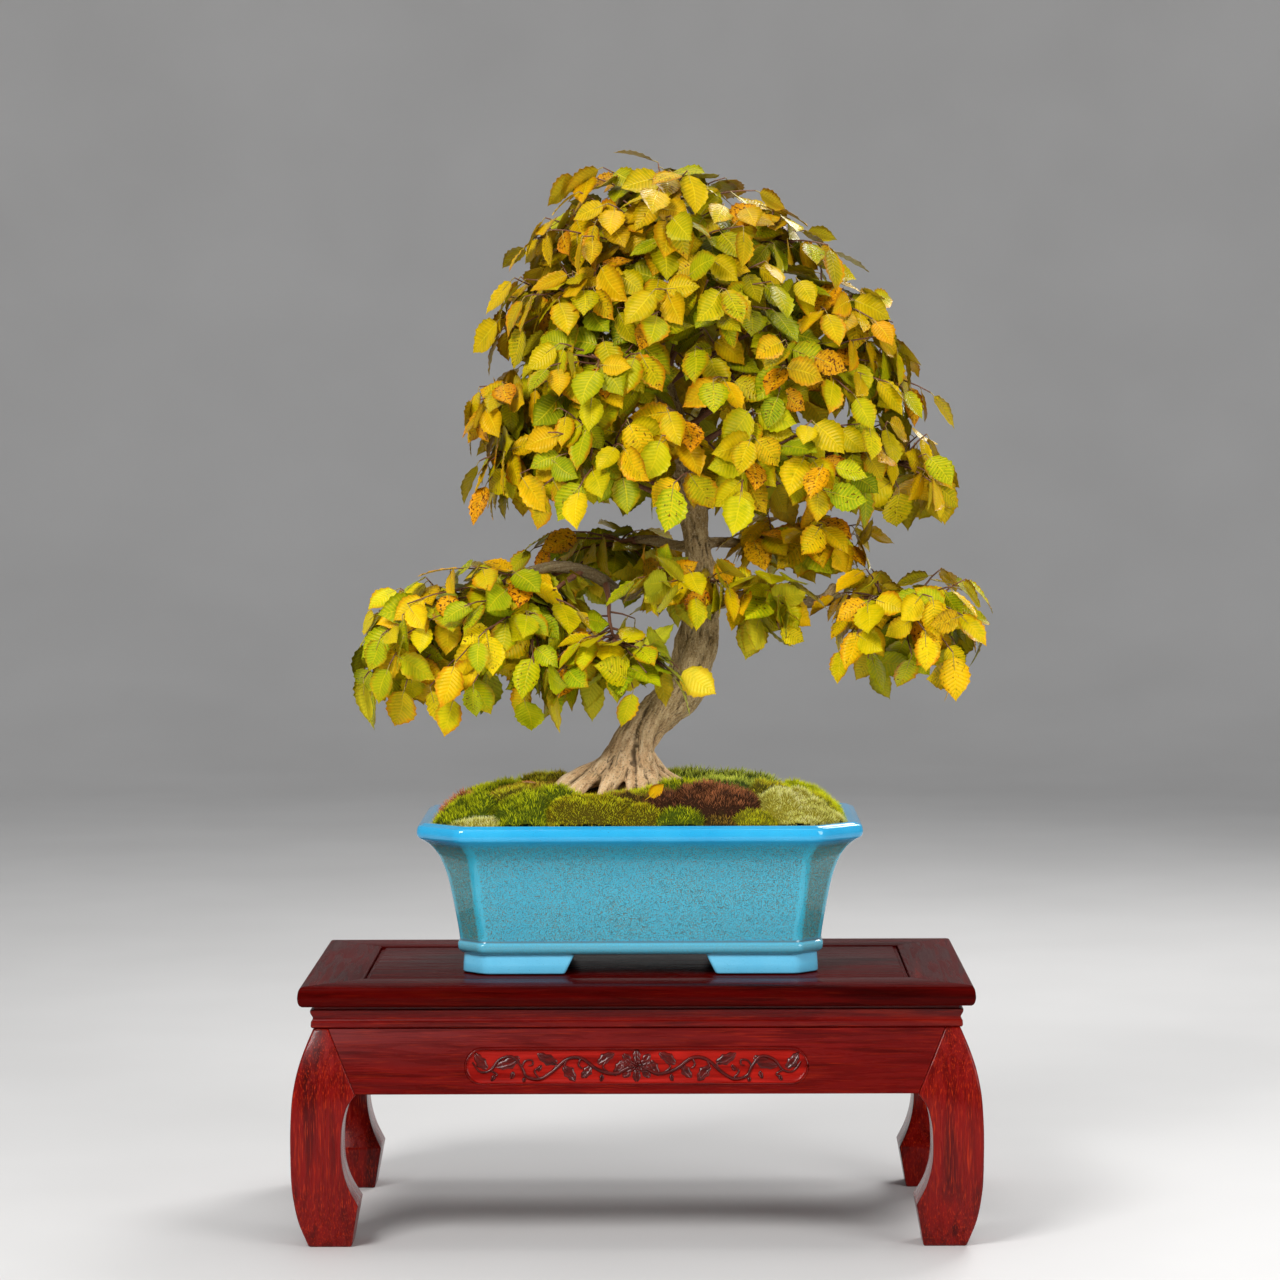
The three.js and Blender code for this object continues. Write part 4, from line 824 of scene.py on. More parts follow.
def cushion_field(x, y):
    """Rise of the moss over the soil at points, the cushion of each, and how deep in it they are."""
    far = 9.0
    best = np.full(x.shape, far)
    second = np.full(x.shape, far)
    which = np.zeros(x.shape, dtype=int)
    wobble = flat_noise(x, y, 14, 3, 5)
    for k, (cx, cy, rx, ry, _, _) in enumerate(CUSHIONS):
        away = np.sqrt(((x - cx) / rx) ** 2 + ((y - cy) / ry) ** 2) + 0.22 * wobble
        nearer = away < best
        second = np.where(nearer, best, np.minimum(second, away))
        which = np.where(nearer, k, which)
        best = np.where(nearer, away, best)
    groove = np.clip((second - best) / 0.62, 0, 1)
    crown = np.clip(1.3 - best, 0, 1)
    edge = np.clip((1 - to_the_rim(x, y)) / 0.13, 0, 1)
    rise = np.array([row[4] for row in CUSHIONS], dtype=float)[which]
    inward = np.sin(0.5 * math.pi * groove) ** 0.8
    dome = inward * np.minimum(crown + 0.3, 1) * np.sin(0.5 * math.pi * edge) ** 0.7
    lumps = flat_noise(x, y, 7, 3, 9)
    lifted = 3.4 * (1 - np.clip((1 - towards_edge(x, y)) / 0.25, 0, 1)) * np.minimum(edge * 6, 1)
    return 0.88 * rise * (0.15 + 0.85 * dome) * (1 + 0.4 * lumps) + lifted, which, inward


def build_soil(look):
    rows = pot_inside()
    rings = [pot_ring(half - 2 * GAP, cut, z if z > POT["floor"] else z + GAP, 4.0)
             for half, z, cut in rows[:-2]]
    half, _, cut = rows[-2]
    for share in (1.0, 0.985, 0.95, 0.85, 0.7, 0.55, 0.4, 0.25, 0.1):
        ring = []
        for px, py in rounded(octagon(half - 2 * GAP, cut), 4.0, 5):
            sx, sy = POT["x"] + share * (px - POT["x"]), share * py
            grit = float(layered_noise(vec(sx / 5, sy / 5, 0)[None], 3, 3)[0])
            height = float(soil_height(np.array(sx), np.array(sy))) - (1.2 if share == 1 else 0)
            ring.append((sx, sy, height + 1.6 * grit))
        rings.append(ring)
    soil = make("soil_mound", *loft(rings), look, "soil", ["soil"])
    welded(soil.data, sharp=60)


def mat_at(x, y):
    """Number of the mat of moss that each point belongs to."""
    middles = np.array([row[1:] for row in MATS], dtype=float)
    return ((x[:, None] - middles[:, 0]) ** 2 + (y[:, None] - middles[:, 1]) ** 2).argmin(axis=1)


def build_moss(look):
    """Each mat as a sheet over the soil in its tufts' low colour, darkened further as painted shade, with its
    tufts.
    """
    step = 2.2
    gx, gy = np.meshgrid(np.arange(-168, 174, step), np.arange(-104, 104, step), indexing="ij")
    x, y = gx.ravel(), gy.ravel()
    rise, which, _ = cushion_field(x, y)
    height = soil_height(x, y) + rise - 0.8
    inside = to_the_rim(x, y) < 0.99
    owner = mat_at(x, y)
    index = np.arange(len(x)).reshape(gx.shape)
    grid = np.stack([index[:-1, :-1], index[1:, :-1], index[1:, 1:], index[:-1, 1:]], axis=-1)
    grid = grid.reshape(-1, 4)
    for number, (name, _, _) in enumerate(MATS):
        heap = Heap()
        quads = grid[inside[grid].all(axis=1) & (owner[grid[:, 0]] == number)]
        used = np.unique(quads)
        remap = np.zeros(len(x), dtype=int)
        remap[used] = np.arange(len(used))
        dark = np.array([MOSS_KINDS[CUSHIONS[k][5]][5] for k in which[used]])
        # painted shade: the sheet under the tufts takes the low colour of each cushion's moss, darkened
        # further
        heap.add(np.stack([x[used], y[used], height[used]], axis=1), halved(remap[quads]), tint=dark * 0.8)
        add_tufts(heap, number)
        heap.make("tufts_" + name, look, "moss_brown" if "brown" in name else "moss_green", [name])


def add_tufts(heap, number):
    """Fine pointed tufts over one mat of moss."""
    rng = np.random.default_rng(40 + number)
    gx, gy = np.meshgrid(np.arange(-166, 172, 1.0), np.arange(-102, 102, 1.0), indexing="ij")
    x = gx.ravel() + rng.uniform(-0.5, 0.5, gx.size)
    y = gy.ravel() + rng.uniform(-0.5, 0.5, gx.size)
    keep = (to_the_rim(x, y) < 0.995) & (mat_at(x, y) == number)
    x, y = x[keep], y[keep]
    rise, which, inward = cushion_field(x, y)
    rows = [MOSS_KINDS[CUSHIONS[k][5]] for k in which]
    kinds, low, high = (np.array(part) for part in zip(*((row[:5], row[5], row[6]) for row in rows)))
    chosen = rng.uniform(0, 1, len(x)) < TUFT_SHARE / kinds[:, 2] ** 2
    x, y, rise, inward, kinds, low, high = (part[chosen] for part in (x, y, rise, inward, kinds, low, high))
    size = kinds[:, 4]
    off_x, off_y, clump = nearest_clump(x / size, y / size)
    away = np.hypot(off_x, off_y)
    tall = kinds[:, 0] * rng.uniform(0.7, 1.25, len(x)) * (1.15 - 0.5 * away)
    wide = kinds[:, 1] * rng.uniform(0.8, 1.25, len(x)) / 2 / TUFT_SHARE ** 0.5
    spread = kinds[:, 3][:, None]
    soil = soil_height(x, y)
    step = 1.5

    def slope(dx, dy):
        return (cushion_field(x + dx, y + dy)[0] + soil_height(x + dx, y + dy) - soil - rise) / step

    lean = np.stack([-slope(step, 0), -slope(0, step), np.ones_like(x)], axis=1)
    lean /= np.linalg.norm(lean, axis=1)[:, None]
    lean[:, :2] += rng.normal(0, 0.35, (len(x), 2)) * spread + 1.1 * np.stack([off_x, off_y], axis=1)
    lean /= np.linalg.norm(lean, axis=1)[:, None]
    z = soil + rise + size * (0.34 - 0.8 * np.minimum(away, 0.8) ** 2)
    buried = 1.6
    root = np.stack([x, y, z - buried], axis=1)
    tips = root + lean * (tall + buried)[:, None]
    turn = rng.uniform(0, 2 * math.pi, len(x))
    blocks = []
    for k in range(3):
        angle = turn + 2 * math.pi * k / 3
        blocks.append(root + np.stack([np.cos(angle), np.sin(angle), np.zeros_like(angle)], axis=1)
                      * wide[:, None])
    points = np.stack(blocks + [tips], axis=1).reshape(-1, 3)
    first = np.arange(len(x)) * 4
    faces = np.concatenate([np.stack([first + k, first + (k + 1) % 3, first + 3], axis=1) for k in range(3)])
    patch = 1 + 0.8 * flat_noise(x, y, 9, 2, 21)
    # patch and clump vary the moss's own colour; the darkening away from each clump's middle and into the
    # grooves between cushions is painted shade
    shade = patch * (0.55 + 0.9 * clump) * (1.3 - 1.1 * away) * (0.4 + 0.6 * inward)
    shade = (shade * rng.normal(1, 0.12, len(x)))[:, None]
    # the foot points take the low colour and the tip the high one, so each tuft is darker at its foot, partly
    # as painted shade
    tint = np.stack([low * shade] * 3 + [np.clip(high * shade, 0.002, 1)], axis=1).reshape(-1, 3)
    free = clear_of_wood(tips, 0.2)
    heap.add(points, faces[free[faces[:, 0] // 4]], tint=tint)


def nearest_clump(u, v):
    """Offsets from the nearest of scattered clump middles, one a unit apart, and its own chance."""
    far = 9.0
    best = np.full(u.shape, far)
    found = [np.zeros_like(u) for _ in range(3)]
    cell_u, cell_v = np.floor(u).astype(np.int64), np.floor(v).astype(np.int64)
    for du in (-1, 0, 1):
        for dv in (-1, 0, 1):
            middle_u = cell_u + du + lattice(cell_u + du, cell_v + dv, 0, 71)
            middle_v = cell_v + dv + lattice(cell_u + du, cell_v + dv, 1, 72)
            away = np.hypot(u - middle_u, v - middle_v)
            nearer = away < best
            best = np.where(nearer, away, best)
            values = (u - middle_u, v - middle_v, lattice(cell_u + du, cell_v + dv, 2, 73))
            found = [np.where(nearer, value, old) for value, old in zip(values, found)]
    return found


# Wood of the tree

# muscles of wood that run down the trunk into the roots
STRANDS = [
    [(34, -6, 428, 9), (20, -9, 410, 9.5), (9, -12, 395, 9), (5, -13.5, 380, 8.4), (5.6, -14.5, 366, 8.2),
     (11, -15.5, 356, 7.4), (22, -13, 349, 6), (35, -10, 341, 4.6), (48, -8, 334, 3.2)],
    [(24, -3, 420, 9), (8, -6, 405, 10), (-7, -8, 388, 10.4), (-17, -10, 371, 10.4), (-28, -13, 359, 8.2),
     (-42, -16, 350, 6.2), (-58, -19, 341, 4.4)],
    [(-4, -10, 384, 9), (-12, -14, 370, 8.5), (-19, -22, 357, 7), (-25, -33, 348, 5.6), (-30, -46, 338, 3.8)],
    [(9, -16, 364, 5.5), (13, -24, 352, 4.6), (17, -33, 343, 3.4)],
    [(-4, -18, 362, 5), (-5, -27, 350, 4.2), (-8, -36, 342, 3)],
    [(-10, -3, 388, 5), (-18, -5, 375, 6.5), (-27, -6, 365, 6), (-42, -5, 357, 5), (-57, -8, 353, 3.8),
     (-71, -12, 342, 3)],
    [(-36, -16, 352, 5), (-46, -25, 344, 4), (-55, -34, 336, 3)],
    [(20, 13, 412, 8), (6, 14, 396, 9), (-4, 15, 378, 9.5), (-10, 18, 362, 8.4), (-15, 27, 350, 6.6),
     (-20, 40, 338, 4.2)],
    [(30, 14, 420, 8), (14, 14, 402, 8.4), (4, 14, 382, 8), (7, 19, 363, 7), (18, 28, 350, 5.8),
     (30, 38, 338, 4)],
    [(2, 6, 396, 6), (-7, 9, 384, 8.5), (-15, 12, 372, 8.6), (-26, 16, 357, 7), (-40, 22, 347, 5),
     (-54, 27, 336, 3.4)],
]
SLIMMER = 0.8  # share of their size that the roots keep beneath the strands


def row_curves():
    """Trunk, roots, strands and limbs as smooth rows of place and radius."""
    trunk = smooth_rows(TRUNK, 5)
    trunk[:, 3] *= mix(1, 0.84, np.clip((415 - trunk[:, 2]) / 40, 0, 1))
    yield "trunk", trunk
    for root in ROOTS:
        slim = smooth_rows(root, 6)
        slim[:, 3] *= SLIMMER
        yield "root", slim
    for strand in STRANDS:
        yield "strand", smooth_rows(strand, 6)
    for limb in LIMBS.values():
        yield "limb", smooth_rows(limb, 5)


def row_ways(rows):
    """Direction of a curve at each of its rows, and the length up to there."""
    ways = np.gradient(rows[:, :3], axis=0)
    ways /= np.linalg.norm(ways, axis=1)[:, None]
    steps = np.linalg.norm(np.diff(rows[:, :3], axis=0), axis=1)
    return np.column_stack([ways, np.concatenate([[0], np.cumsum(steps)])])


CURVES = list(row_curves())
WOOD_ROWS = np.concatenate([rows for _, rows in CURVES])
IN_LIMB = np.concatenate([np.full(len(rows), kind == "limb") for kind, rows in CURVES])
WOOD_WAYS = np.concatenate([row_ways(rows) for _, rows in CURVES])


def from_wood(points):
    """Distance of each point from the skin of the wood at each row of its curves."""
    return np.linalg.norm(points[:, None, :] - WOOD_ROWS[None, :, :3], axis=2) - WOOD_ROWS[None, :, 3]


def clear_of_wood(points, spare):
    return from_wood(points).min(axis=1) > spare


def concavity(mesh, place, normals, rounds):
    """How far each vertex lies below its surroundings, in metres."""
    edges = np.empty(len(mesh.edges) * 2, dtype=int)
    mesh.edges.foreach_get("vertices", edges)
    a, b = edges[::2], edges[1::2]
    count = len(place)
    near = np.bincount(edges, minlength=count)
    soft = place
    for _ in range(rounds):
        soft = np.stack([
            (np.bincount(a, soft[b, k], count) + np.bincount(b, soft[a, k], count)) / near
            for k in range(3)], axis=1)
    return ((soft - place) * normals).sum(axis=1)


def trunk_flute(turn, t):
    """How far the trunk stands out round its turn, with muscles at its foot."""
    i = t * (len(TRUNK) - 1)
    low = max(0.0, 1 - t * 4.5)
    swell = 0.09 * np.cos(3 * turn + 0.5 * i) + 0.04 * np.cos(5 * turn - i)
    muscle = low * (0.1 * np.cos(4 * turn + 1.1 * i) + 0.05 * np.cos(7 * turn + 0.8 * i))
    knots = 0.05 * np.cos(2 * turn - 2.3 * i)
    return 1 + swell + muscle + knots


def branch_flute(turn, t):
    return 1 + 0.1 * np.cos(2 * turn + 9 * t) + 0.05 * np.cos(5 * turn - 7 * t)


def grown_together():
    """Trunk, roots, strands and limbs as one even mesh without seams."""
    heap = Heap()
    for kind, rows in CURVES:
        sides, flute = (64, trunk_flute) if kind == "trunk" else (24, branch_flute)
        heap.add(*closed_tube(rows[:, :3], rows[:, 3], sides, flute))
    points, faces = heap.whole()
    rough = bpy.data.meshes.new("rough_wood")
    rough.from_pydata((points * MM + SHIFT).tolist(), [], faces)
    lump = linked(bpy.data.objects.new("rough_wood", rough))
    remesh = lump.modifiers.new("even", "REMESH")
    remesh.mode = "VOXEL"
    remesh.voxel_size = 0.0013
    even = lump.modifiers.new("soft", "SMOOTH")
    even.factor = 0.5
    even.iterations = 4
    mesh = bpy.data.meshes.new_from_object(lump.evaluated_get(bpy.context.evaluated_depsgraph_get()))
    bpy.data.objects.remove(lump)
    return mesh


def vertex_rows(rows, key):
    """Three numbers of each vertex."""
    values = np.empty(len(rows) * 3)
    rows.foreach_get(key, values)
    return values.reshape(-1, 3)


def build_trunk(bark):
    mesh = grown_together()
    count = len(mesh.vertices)
    place = vertex_rows(mesh.vertices, "co")
    normals = vertex_rows(mesh.vertex_normals, "vector")
    spot = (place - SHIFT) / MM
    batch = 4000
    nearest = np.concatenate([from_wood(spot[start:start + batch]).argmin(axis=1)
                              for start in range(0, count, batch)])
    radius = WOOD_ROWS[nearest, 3]
    way = WOOD_WAYS[nearest]
    # 1 in the pale wood of the roots, 0 up the trunk, below 0 out along the limbs, which are painted darker
    # there as painted shade
    low = np.clip((430 - spot[:, 2]) / 60, 0, 1)
    limb = IN_LIMB[nearest] * np.clip(way[:, 3] / 70, 0, 1)
    # the grain runs along the nearest strand
    offset = spot - WOOD_ROWS[nearest, :3]
    onward = (offset * way[:, :3]).sum(axis=1)
    grain = offset - onward[:, None] * way[:, :3]
    grain[:, 2] += 0.25 * (way[:, 3] + onward)
    cracks = np.clip(1 - np.abs(layered_noise(grain / 6, 3, 31)) / 0.08, 0, 1)
    plates = layered_noise(spot * [1, 1, 0.6] / 3.4, 2, 41)
    swell = layered_noise(spot / 15, 2, 51)
    depth = -1.1 * cracks + (1 - 0.6 * low) * plates + 2.2 * swell * np.clip(radius / 12, 0, 1)
    place += normals * (depth * np.clip(radius / 8, 0.15, 1) * MM)[:, None]
    mesh.vertices.foreach_set("co", place.ravel())
    sunk = (concavity(mesh, place, normals, 24) + 1.6 * concavity(mesh, place, normals, 6)) / MM
    # painted shade: the bark is darkened in its cracks and wherever its surface lies sunk below its
    # surroundings
    hollow = np.clip(0.5 * cracks + 0.45 * sunk + 0.15, 0, 1)
    tint = np.stack([low - limb, hollow, np.clip(0.5 + swell, 0, 1)], axis=1)
    flow = grain * MM + 0.5
    finish_piece("bark_of_trunk", mesh, bark, "bark", ["trunk"], {"wood": tint, "flow": flow})


# Foliage

def along_rows(rows, share):
    """The row at a share of the way along, between two others."""
    rows = np.asarray(rows, dtype=float)
    place = min(share, 0.99999) * (len(rows) - 1)
    i = int(place)
    return mix(rows[i], rows[i + 1], place - i)


def trunk_at(z):
    """Middle and radius of the trunk at a height."""
    rows = np.asarray(TRUNK, dtype=float)
    i = int(np.clip(np.searchsorted(rows[:, 2], z) - 1, 0, len(rows) - 2))
    return mix(rows[i], rows[i + 1], (z - rows[i, 2]) / (rows[i + 1, 2] - rows[i, 2]))


class Bow:
    """A curve from one point to another that leans on a third."""

    def __init__(self, start, middle, end):
        self.rows = [np.asarray(p, dtype=float) for p in (start, middle, end)]
        self.length = np.linalg.norm(self.rows[2] - self.rows[0])

    def point(self, t):
        a, b, c = self.rows
        return (1 - t) ** 2 * a + 2 * t * (1 - t) * b + t * t * c

    def tangent(self, t):
        a, b, c = self.rows
        return unit((b - a) * (1 - t) + (c - b) * t)


def cloud_point(name, azimuth, elevation, depth):
    """A point at a depth inside one cloud of leaves, and the way out of it there."""
    centre, reach, taper = CLOUDS[name]
    c, s = math.cos(azimuth), math.sin(azimuth)
    side = 0 if c < 0 else 1
    face = 2 if s < 0 else 3
    level = max(math.cos(elevation), 0.0)
    high = reach[5] if elevation < 0 else reach[4]
    offset = vec(c * reach[side] * level ** taper[side], s * reach[face] * level ** taper[face],
                 high * math.sin(elevation))
    out = unit(offset / vec(reach[side] ** 2, reach[face] ** 2, high ** 2))
    return vec(*centre) + offset - out * depth, out


def stem_of(row, which):
    """The stem of a leafy branch, and the share of it that lies in the solid wood."""
    name, cloud, azimuth, _, elevation, _, place = row[:7]
    share = row[7] if len(row) > 7 else None
    tip, _ = cloud_point(cloud, math.radians(azimuth), math.radians(elevation), STEM["depth"])
    base = trunk_at(place) if share is None else along_rows(LIMBS[place], share)
    start_point = base[:3]
    reach = np.linalg.norm(tip - start_point)
    sway = (chance(which, 1, 2, 3) - 0.5) * STEM["sway"] * reach
    level = unit((tip - start_point) * [1, 1, 0])
    middle = (start_point + tip) / 2 + vec(-level[1] * sway, level[0] * sway, STEM["arch"] * reach)
    if share == 1:
        onward = unit(start_point - along_rows(LIMBS[place], 0.999)[:3])
        middle = start_point + onward * reach * 0.4
    start = 0.0 if share == 1 else (base[3] + STEM["stub"]) / reach
    return Bow(start_point, middle, tip), start


def twig_of(row, which, index, stem, start):
    _, cloud, azimuth, azimuth_range, elevation, elevation_range = row[:6]
    a = (0.5 + (index + 1) * 0.7548776662) % 1
    b = (0.5 + (index + 1) * 0.569840291) % 1
    turn = math.radians(azimuth + azimuth_range * (2 * a - 1))
    rise = math.radians(min(elevation + elevation_range * (2 * b - 1), 89))
    depth = mix(*TWIG["depth"], chance(which, index, 3, 1) ** 2)
    if cloud == "crown":
        aside, above = abs(2 * a - 1), max(2 * b - 1 + 0.2, 0) / 1.2
        drawn_in = TIER["sides"] * aside ** 2 + TIER["top"] * above ** 1.5
        drawn_in += TIER["uneven"] * chance(which, 5, 5, 5)
        depth += drawn_in * math.cos(rise)
    point, out = cloud_point(cloud, turn, rise, depth)
    tip = stem.point(1)
    place = min(max(1 - 0.8 * np.linalg.norm(point - tip) / stem.length, 0.35), 0.97)
    origin = stem.point(max(place, start + 0.08))
    middle = (origin + point) / 2 + vec(0, 0, TWIG["arch"] * np.linalg.norm(origin - point))
    return Bow(origin, middle, point), out


TURNS = (0, 26, -26, 52, -52, 80, -80)  # degrees that a leaf may turn aside to miss others


def spun(v, axis, degrees):
    """A vector turned about an axis."""
    c, s = direction(degrees)
    return v * c + np.cross(axis, v) * s + axis * (axis.dot(v) * (1 - c))


def leaf_place(which, twig_index, index, twig, out, attempt):
    """Where a leaf grows from its twig: origin, axis, normal, the way across it, and scale."""
    share = mix(TWIG["first_leaf"], 1, index / (LEAF["per_twig"] - 1))
    origin = twig.point(share)
    onward = twig.tangent(share)
    draws = [chance(which * MOST_TWIGS + twig_index, index, k, 17) for k in range(9)]
    side = 1 if (index + twig_index) % 2 == 0 else -1
    terminal = index == LEAF["per_twig"] - 1
    flat = vec(out[0] + 0.3 * onward[0] + 1e-3, out[1] + 0.3 * onward[1], 0)
    lateral = unit(vec(flat[1], -flat[0], 0))
    normal = unit(out + vec(0, 0, 0.1 + 0.8 * draws[0]) + lateral * 1.3 * (draws[1] - 0.5))
    sideways = side * (0.15 if terminal else 0.4 + 0.6 * draws[2])
    axis = onward * 0.5 + lateral * sideways + out * (0.15 + 0.5 * draws[6])
    axis += vec(0, 0, -0.3 - 0.8 * draws[3])
    axis = unit(axis - normal * axis.dot(normal))
    axis = spun(axis, normal, TURNS[attempt % len(TURNS)])
    droop = -8 + 48 * draws[4] + (18 if attempt >= len(TURNS) else 0)
    normal = spun(normal, axis, 64 * (draws[7] - 0.5))
    across = np.cross(normal, axis)
    axis = spun(axis, across, droop)
    normal = spun(normal, across, droop)
    scale = (0.78 + 0.36 * draws[5]) * (1.05 if terminal else 1)
    return origin, axis, normal, across, scale


# points along and to each side of a blade, and number of different blades
ROWS = 14
HALF_COLUMNS = 2
COLUMNS = 2 * HALF_COLUMNS + 1
LOOKS = 8


def outline_width(u):
    """Half-width of a blade along its length, widest below its middle and drawn out to the tip."""
    u = np.clip(u, 0, 1)
    return 1.06 * np.maximum(np.sin(math.pi * u ** 0.74), 0) ** (0.5 + 0.85 * u)


def leaf_shape(look):
    """One finely toothed and pleated blade, in leaf lengths and half-widths, without its stalk."""
    rng = np.random.default_rng(200 + look)
    fold = rng.uniform(0.06, 0.3)
    curl = rng.uniform(-0.12, 0.2)
    bend = rng.uniform(-0.06, 0.06)
    cup = rng.uniform(-0.1, 0.12)
    u = np.linspace(0, 1, ROWS)
    width = outline_width(u)
    width[0] = 0.1
    width[-1] = 0.0
    shape, params = [], []
    for i, share in enumerate(u):
        between = 0 < i < ROWS - 1
        tooth = 1 + (0.07 if i % 2 else -0.045) * between
        arch = math.sin(math.pi * share)
        for v in np.linspace(-1, 1, COLUMNS):
            half = width[i] * (tooth if abs(v) == 1 else 1) * v
            lag = 0.1 * abs(v) * arch
            pleat = 0.022 * (1 if i % 2 else -1) * (0.25 if v == 0 else 1) * arch
            wave = curl * share * share + cup * arch
            lift = fold * 0.34 * abs(half) + pleat - wave + 0.05 * v * v * rng.uniform(-1, 1) * between
            shape.append((share + lag * between * 0.4, half, lift, bend * arch))
            params.append((share, v))
    return np.array(shape), np.array(params)


SHAPES = [leaf_shape(look) for look in range(LOOKS)]


def blade_faces():
    """Triangles of a blade's upper side, underside and thin margin."""
    last = (ROWS - 1) * COLUMNS
    triangles = []
    for i in range(ROWS - 1):
        for a in range(i * COLUMNS, (i + 1) * COLUMNS - 1):
            if i == ROWS - 2:
                triangles.append((a, a + 1, last))
            else:
                triangles += [(a, a + 1, a + 1 + COLUMNS), (a, a + 1 + COLUMNS, a + COLUMNS)]
    triangles = np.array(triangles)
    under = ROWS * COLUMNS
    rim = [i * COLUMNS for i in range(ROWS)] + [i * COLUMNS + COLUMNS - 1 for i in range(ROWS - 2, -1, -1)]
    margin = []
    for a, b in zip(rim, rim[1:]):
        margin += [(b, a, a + under), (b, a + under, b + under)]
    return np.concatenate([triangles, triangles[:, ::-1] + under, margin])


BLADE_FACES = blade_faces()


def blade_points(origin, axis, normal, across, scale, look):
    """Points of a blade's upper side and underside, which is thinner along its margin."""
    shape, params = SHAPES[look]
    long = LEAF["length"] * scale
    wide = LEAF["half_width"] * scale
    sag = -LEAF["sag"] * shape[:, 0] ** 2
    top = (origin + np.outer(LEAF["petiole"] + long * shape[:, 0], axis)
           + np.outer(wide * shape[:, 1] + long * shape[:, 3], across)
           + np.outer(long * sag + wide * shape[:, 2], normal))
    thin = np.where(np.abs(params[:, 1]) == 1, 0.08, 0.28)
    thin = np.where(params[:, 0] == 1, 0.05, thin)
    return top, top - np.outer(thin, normal)


def add_leaf(heap, twigs, place, look, tone, age):
    """One leaf, with its blade in one heap and its stalk in another."""
    origin, axis, normal, across, scale = place
    top, under = blade_points(*place, look)
    _, params = SHAPES[look]
    uv = np.concatenate([params, params])
    side = np.repeat([0.0, 1.0], len(top))
    grain = np.stack([uv[:, 0], uv[:, 1] * 0.5 + 0.5, side], axis=1)
    heap.add(np.concatenate([top, under]), BLADE_FACES, grain=grain, tone=tone, age=age)
    stalk = LEAF["petiole"]
    path = [origin, origin + axis * stalk * 0.5 + normal * 0.4, origin + axis * (stalk + 1.2) + normal * 0.05,
            origin + axis * (stalk + 9 * scale) - normal * 0.1]
    twigs.add(*closed_tube(path, [0.42, 0.36, 0.34, 0.16], 4), tint=(0.36, 0.26, 0.05))


class Placed:
    """Blades that have been placed, to keep others from passing through them."""

    # places on a blade, along it and across it, that stand for it
    marks = ((0.05, 0), (0.3, 0), (0.55, 0), (0.8, 0), (1.0, 0), (0.22, 0.9), (0.22, -0.9),
             (0.5, 0.9), (0.5, -0.9), (0.78, 0.55), (0.78, -0.55))
    middle_mark = 2
    reach = 34  # middles of two blades farther apart than this never touch

    def __init__(self, most):
        self.count = 0
        self.base = np.zeros((most, 3))
        self.axes = np.zeros((most, 3, 3))
        self.size = np.zeros((most, 2))
        self.samples = np.zeros((most, len(self.marks), 3))

    def outline(self, place):
        origin, axis, normal, across, scale = place
        long, wide = LEAF["length"] * scale, LEAF["half_width"] * scale
        base = origin + axis * LEAF["petiole"]
        samples = [base + axis * u * long + across * v * wide - normal * LEAF["sag"] * u * u * long
                   for u, v in self.marks]
        return base, np.array([axis, across, normal]), np.array([long, wide]), np.array(samples)

    @staticmethod
    def inside(samples, base, axes, size):
        """How many samples lie in each blade's outline with some on either side or right at it."""
        rel = samples - base
        u = np.einsum("...i,...i->...", rel, axes[..., 0, :]) / size[..., 0]
        v = np.einsum("...i,...i->...", rel, axes[..., 1, :]) / size[..., 1]
        w = np.einsum("...i,...i->...", rel, axes[..., 2, :]) + LEAF["sag"] * u * u * size[..., 0]
        half = outline_width(u)
        over = (u > -0.02) & (u < 1.02) & (np.abs(v) < half + 0.06)
        above = (over & (w > 0)).any(axis=1)
        below = (over & (w < 0)).any(axis=1)
        touch = (over & (np.abs(w) < 0.7)).sum(axis=1)
        return int((above & below).sum()) * 3 + int(touch.sum())

    def conflict(self, place):
        """How much a blade would cross those that are placed."""
        base, axes, size, samples = self.outline(place)
        middles = self.samples[:self.count, self.middle_mark]
        near = np.nonzero(((middles - samples[self.middle_mark]) ** 2).sum(axis=1) < self.reach ** 2)[0]
        if len(near) == 0:
            return 0
        mine = self.inside(samples[None, :, :], self.base[near][:, None, :], self.axes[near][:, None],
                           self.size[near][:, None, :])
        theirs = self.inside(self.samples[near], base[None, None, :], axes[None, None], size[None, None, :])
        return mine + theirs

    def add(self, place):
        n = self.count
        self.base[n], self.axes[n], self.size[n], self.samples[n] = self.outline(place)
        self.count += 1


# twigs that are also in the frame, and the leaves on every other one of them
KEPT_TWIGS = (0, 3, 6, 9)
KEPT_LEAVES = ((0, 2, 4), (1, 4))
ATTEMPTS = 14
SPARE_CROSSINGS = 5
MOST_TWIGS = 64
SPUR = dict(number=4, first=40, place=(0.3, 0.95), length=(12, 24), leaves=(2, 4))
BROWN = vec(0.13, 0.05, 0.022)


def kept_attempts(row, which, stem, start):
    """How each leaf that is also in the frame was turned, read from where its tip is."""
    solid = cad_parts["leaves_" + row[0]].data
    points = (vertex_rows(solid.vertices, "co") - SHIFT) / MM
    found = {}
    for order, twig_index in enumerate(KEPT_TWIGS):
        twig, out = twig_of(row, which, twig_index, stem, start)
        for index in KEPT_LEAVES[order % 2]:
            for attempt in range(ATTEMPTS):
                origin, axis, normal, _, scale = leaf_place(which, twig_index, index, twig, out, attempt)
                long = LEAF["length"] * scale
                tip = origin + axis * (LEAF["petiole"] + long) - normal * LEAF["sag"] * long
                if np.abs(points - tip).sum(axis=1).min() < 0.2:
                    found[twig_index, index] = attempt
                    break
    return found


GOLD = vec(0.76, 0.42, 0.002)
LIME = vec(0.54, 0.46, 0.002)
GREEN = vec(0.3, 0.34, 0.004)
OLIVE = vec(0.16, 0.17, 0.003)
ORANGE = vec(0.78, 0.22, 0.003)


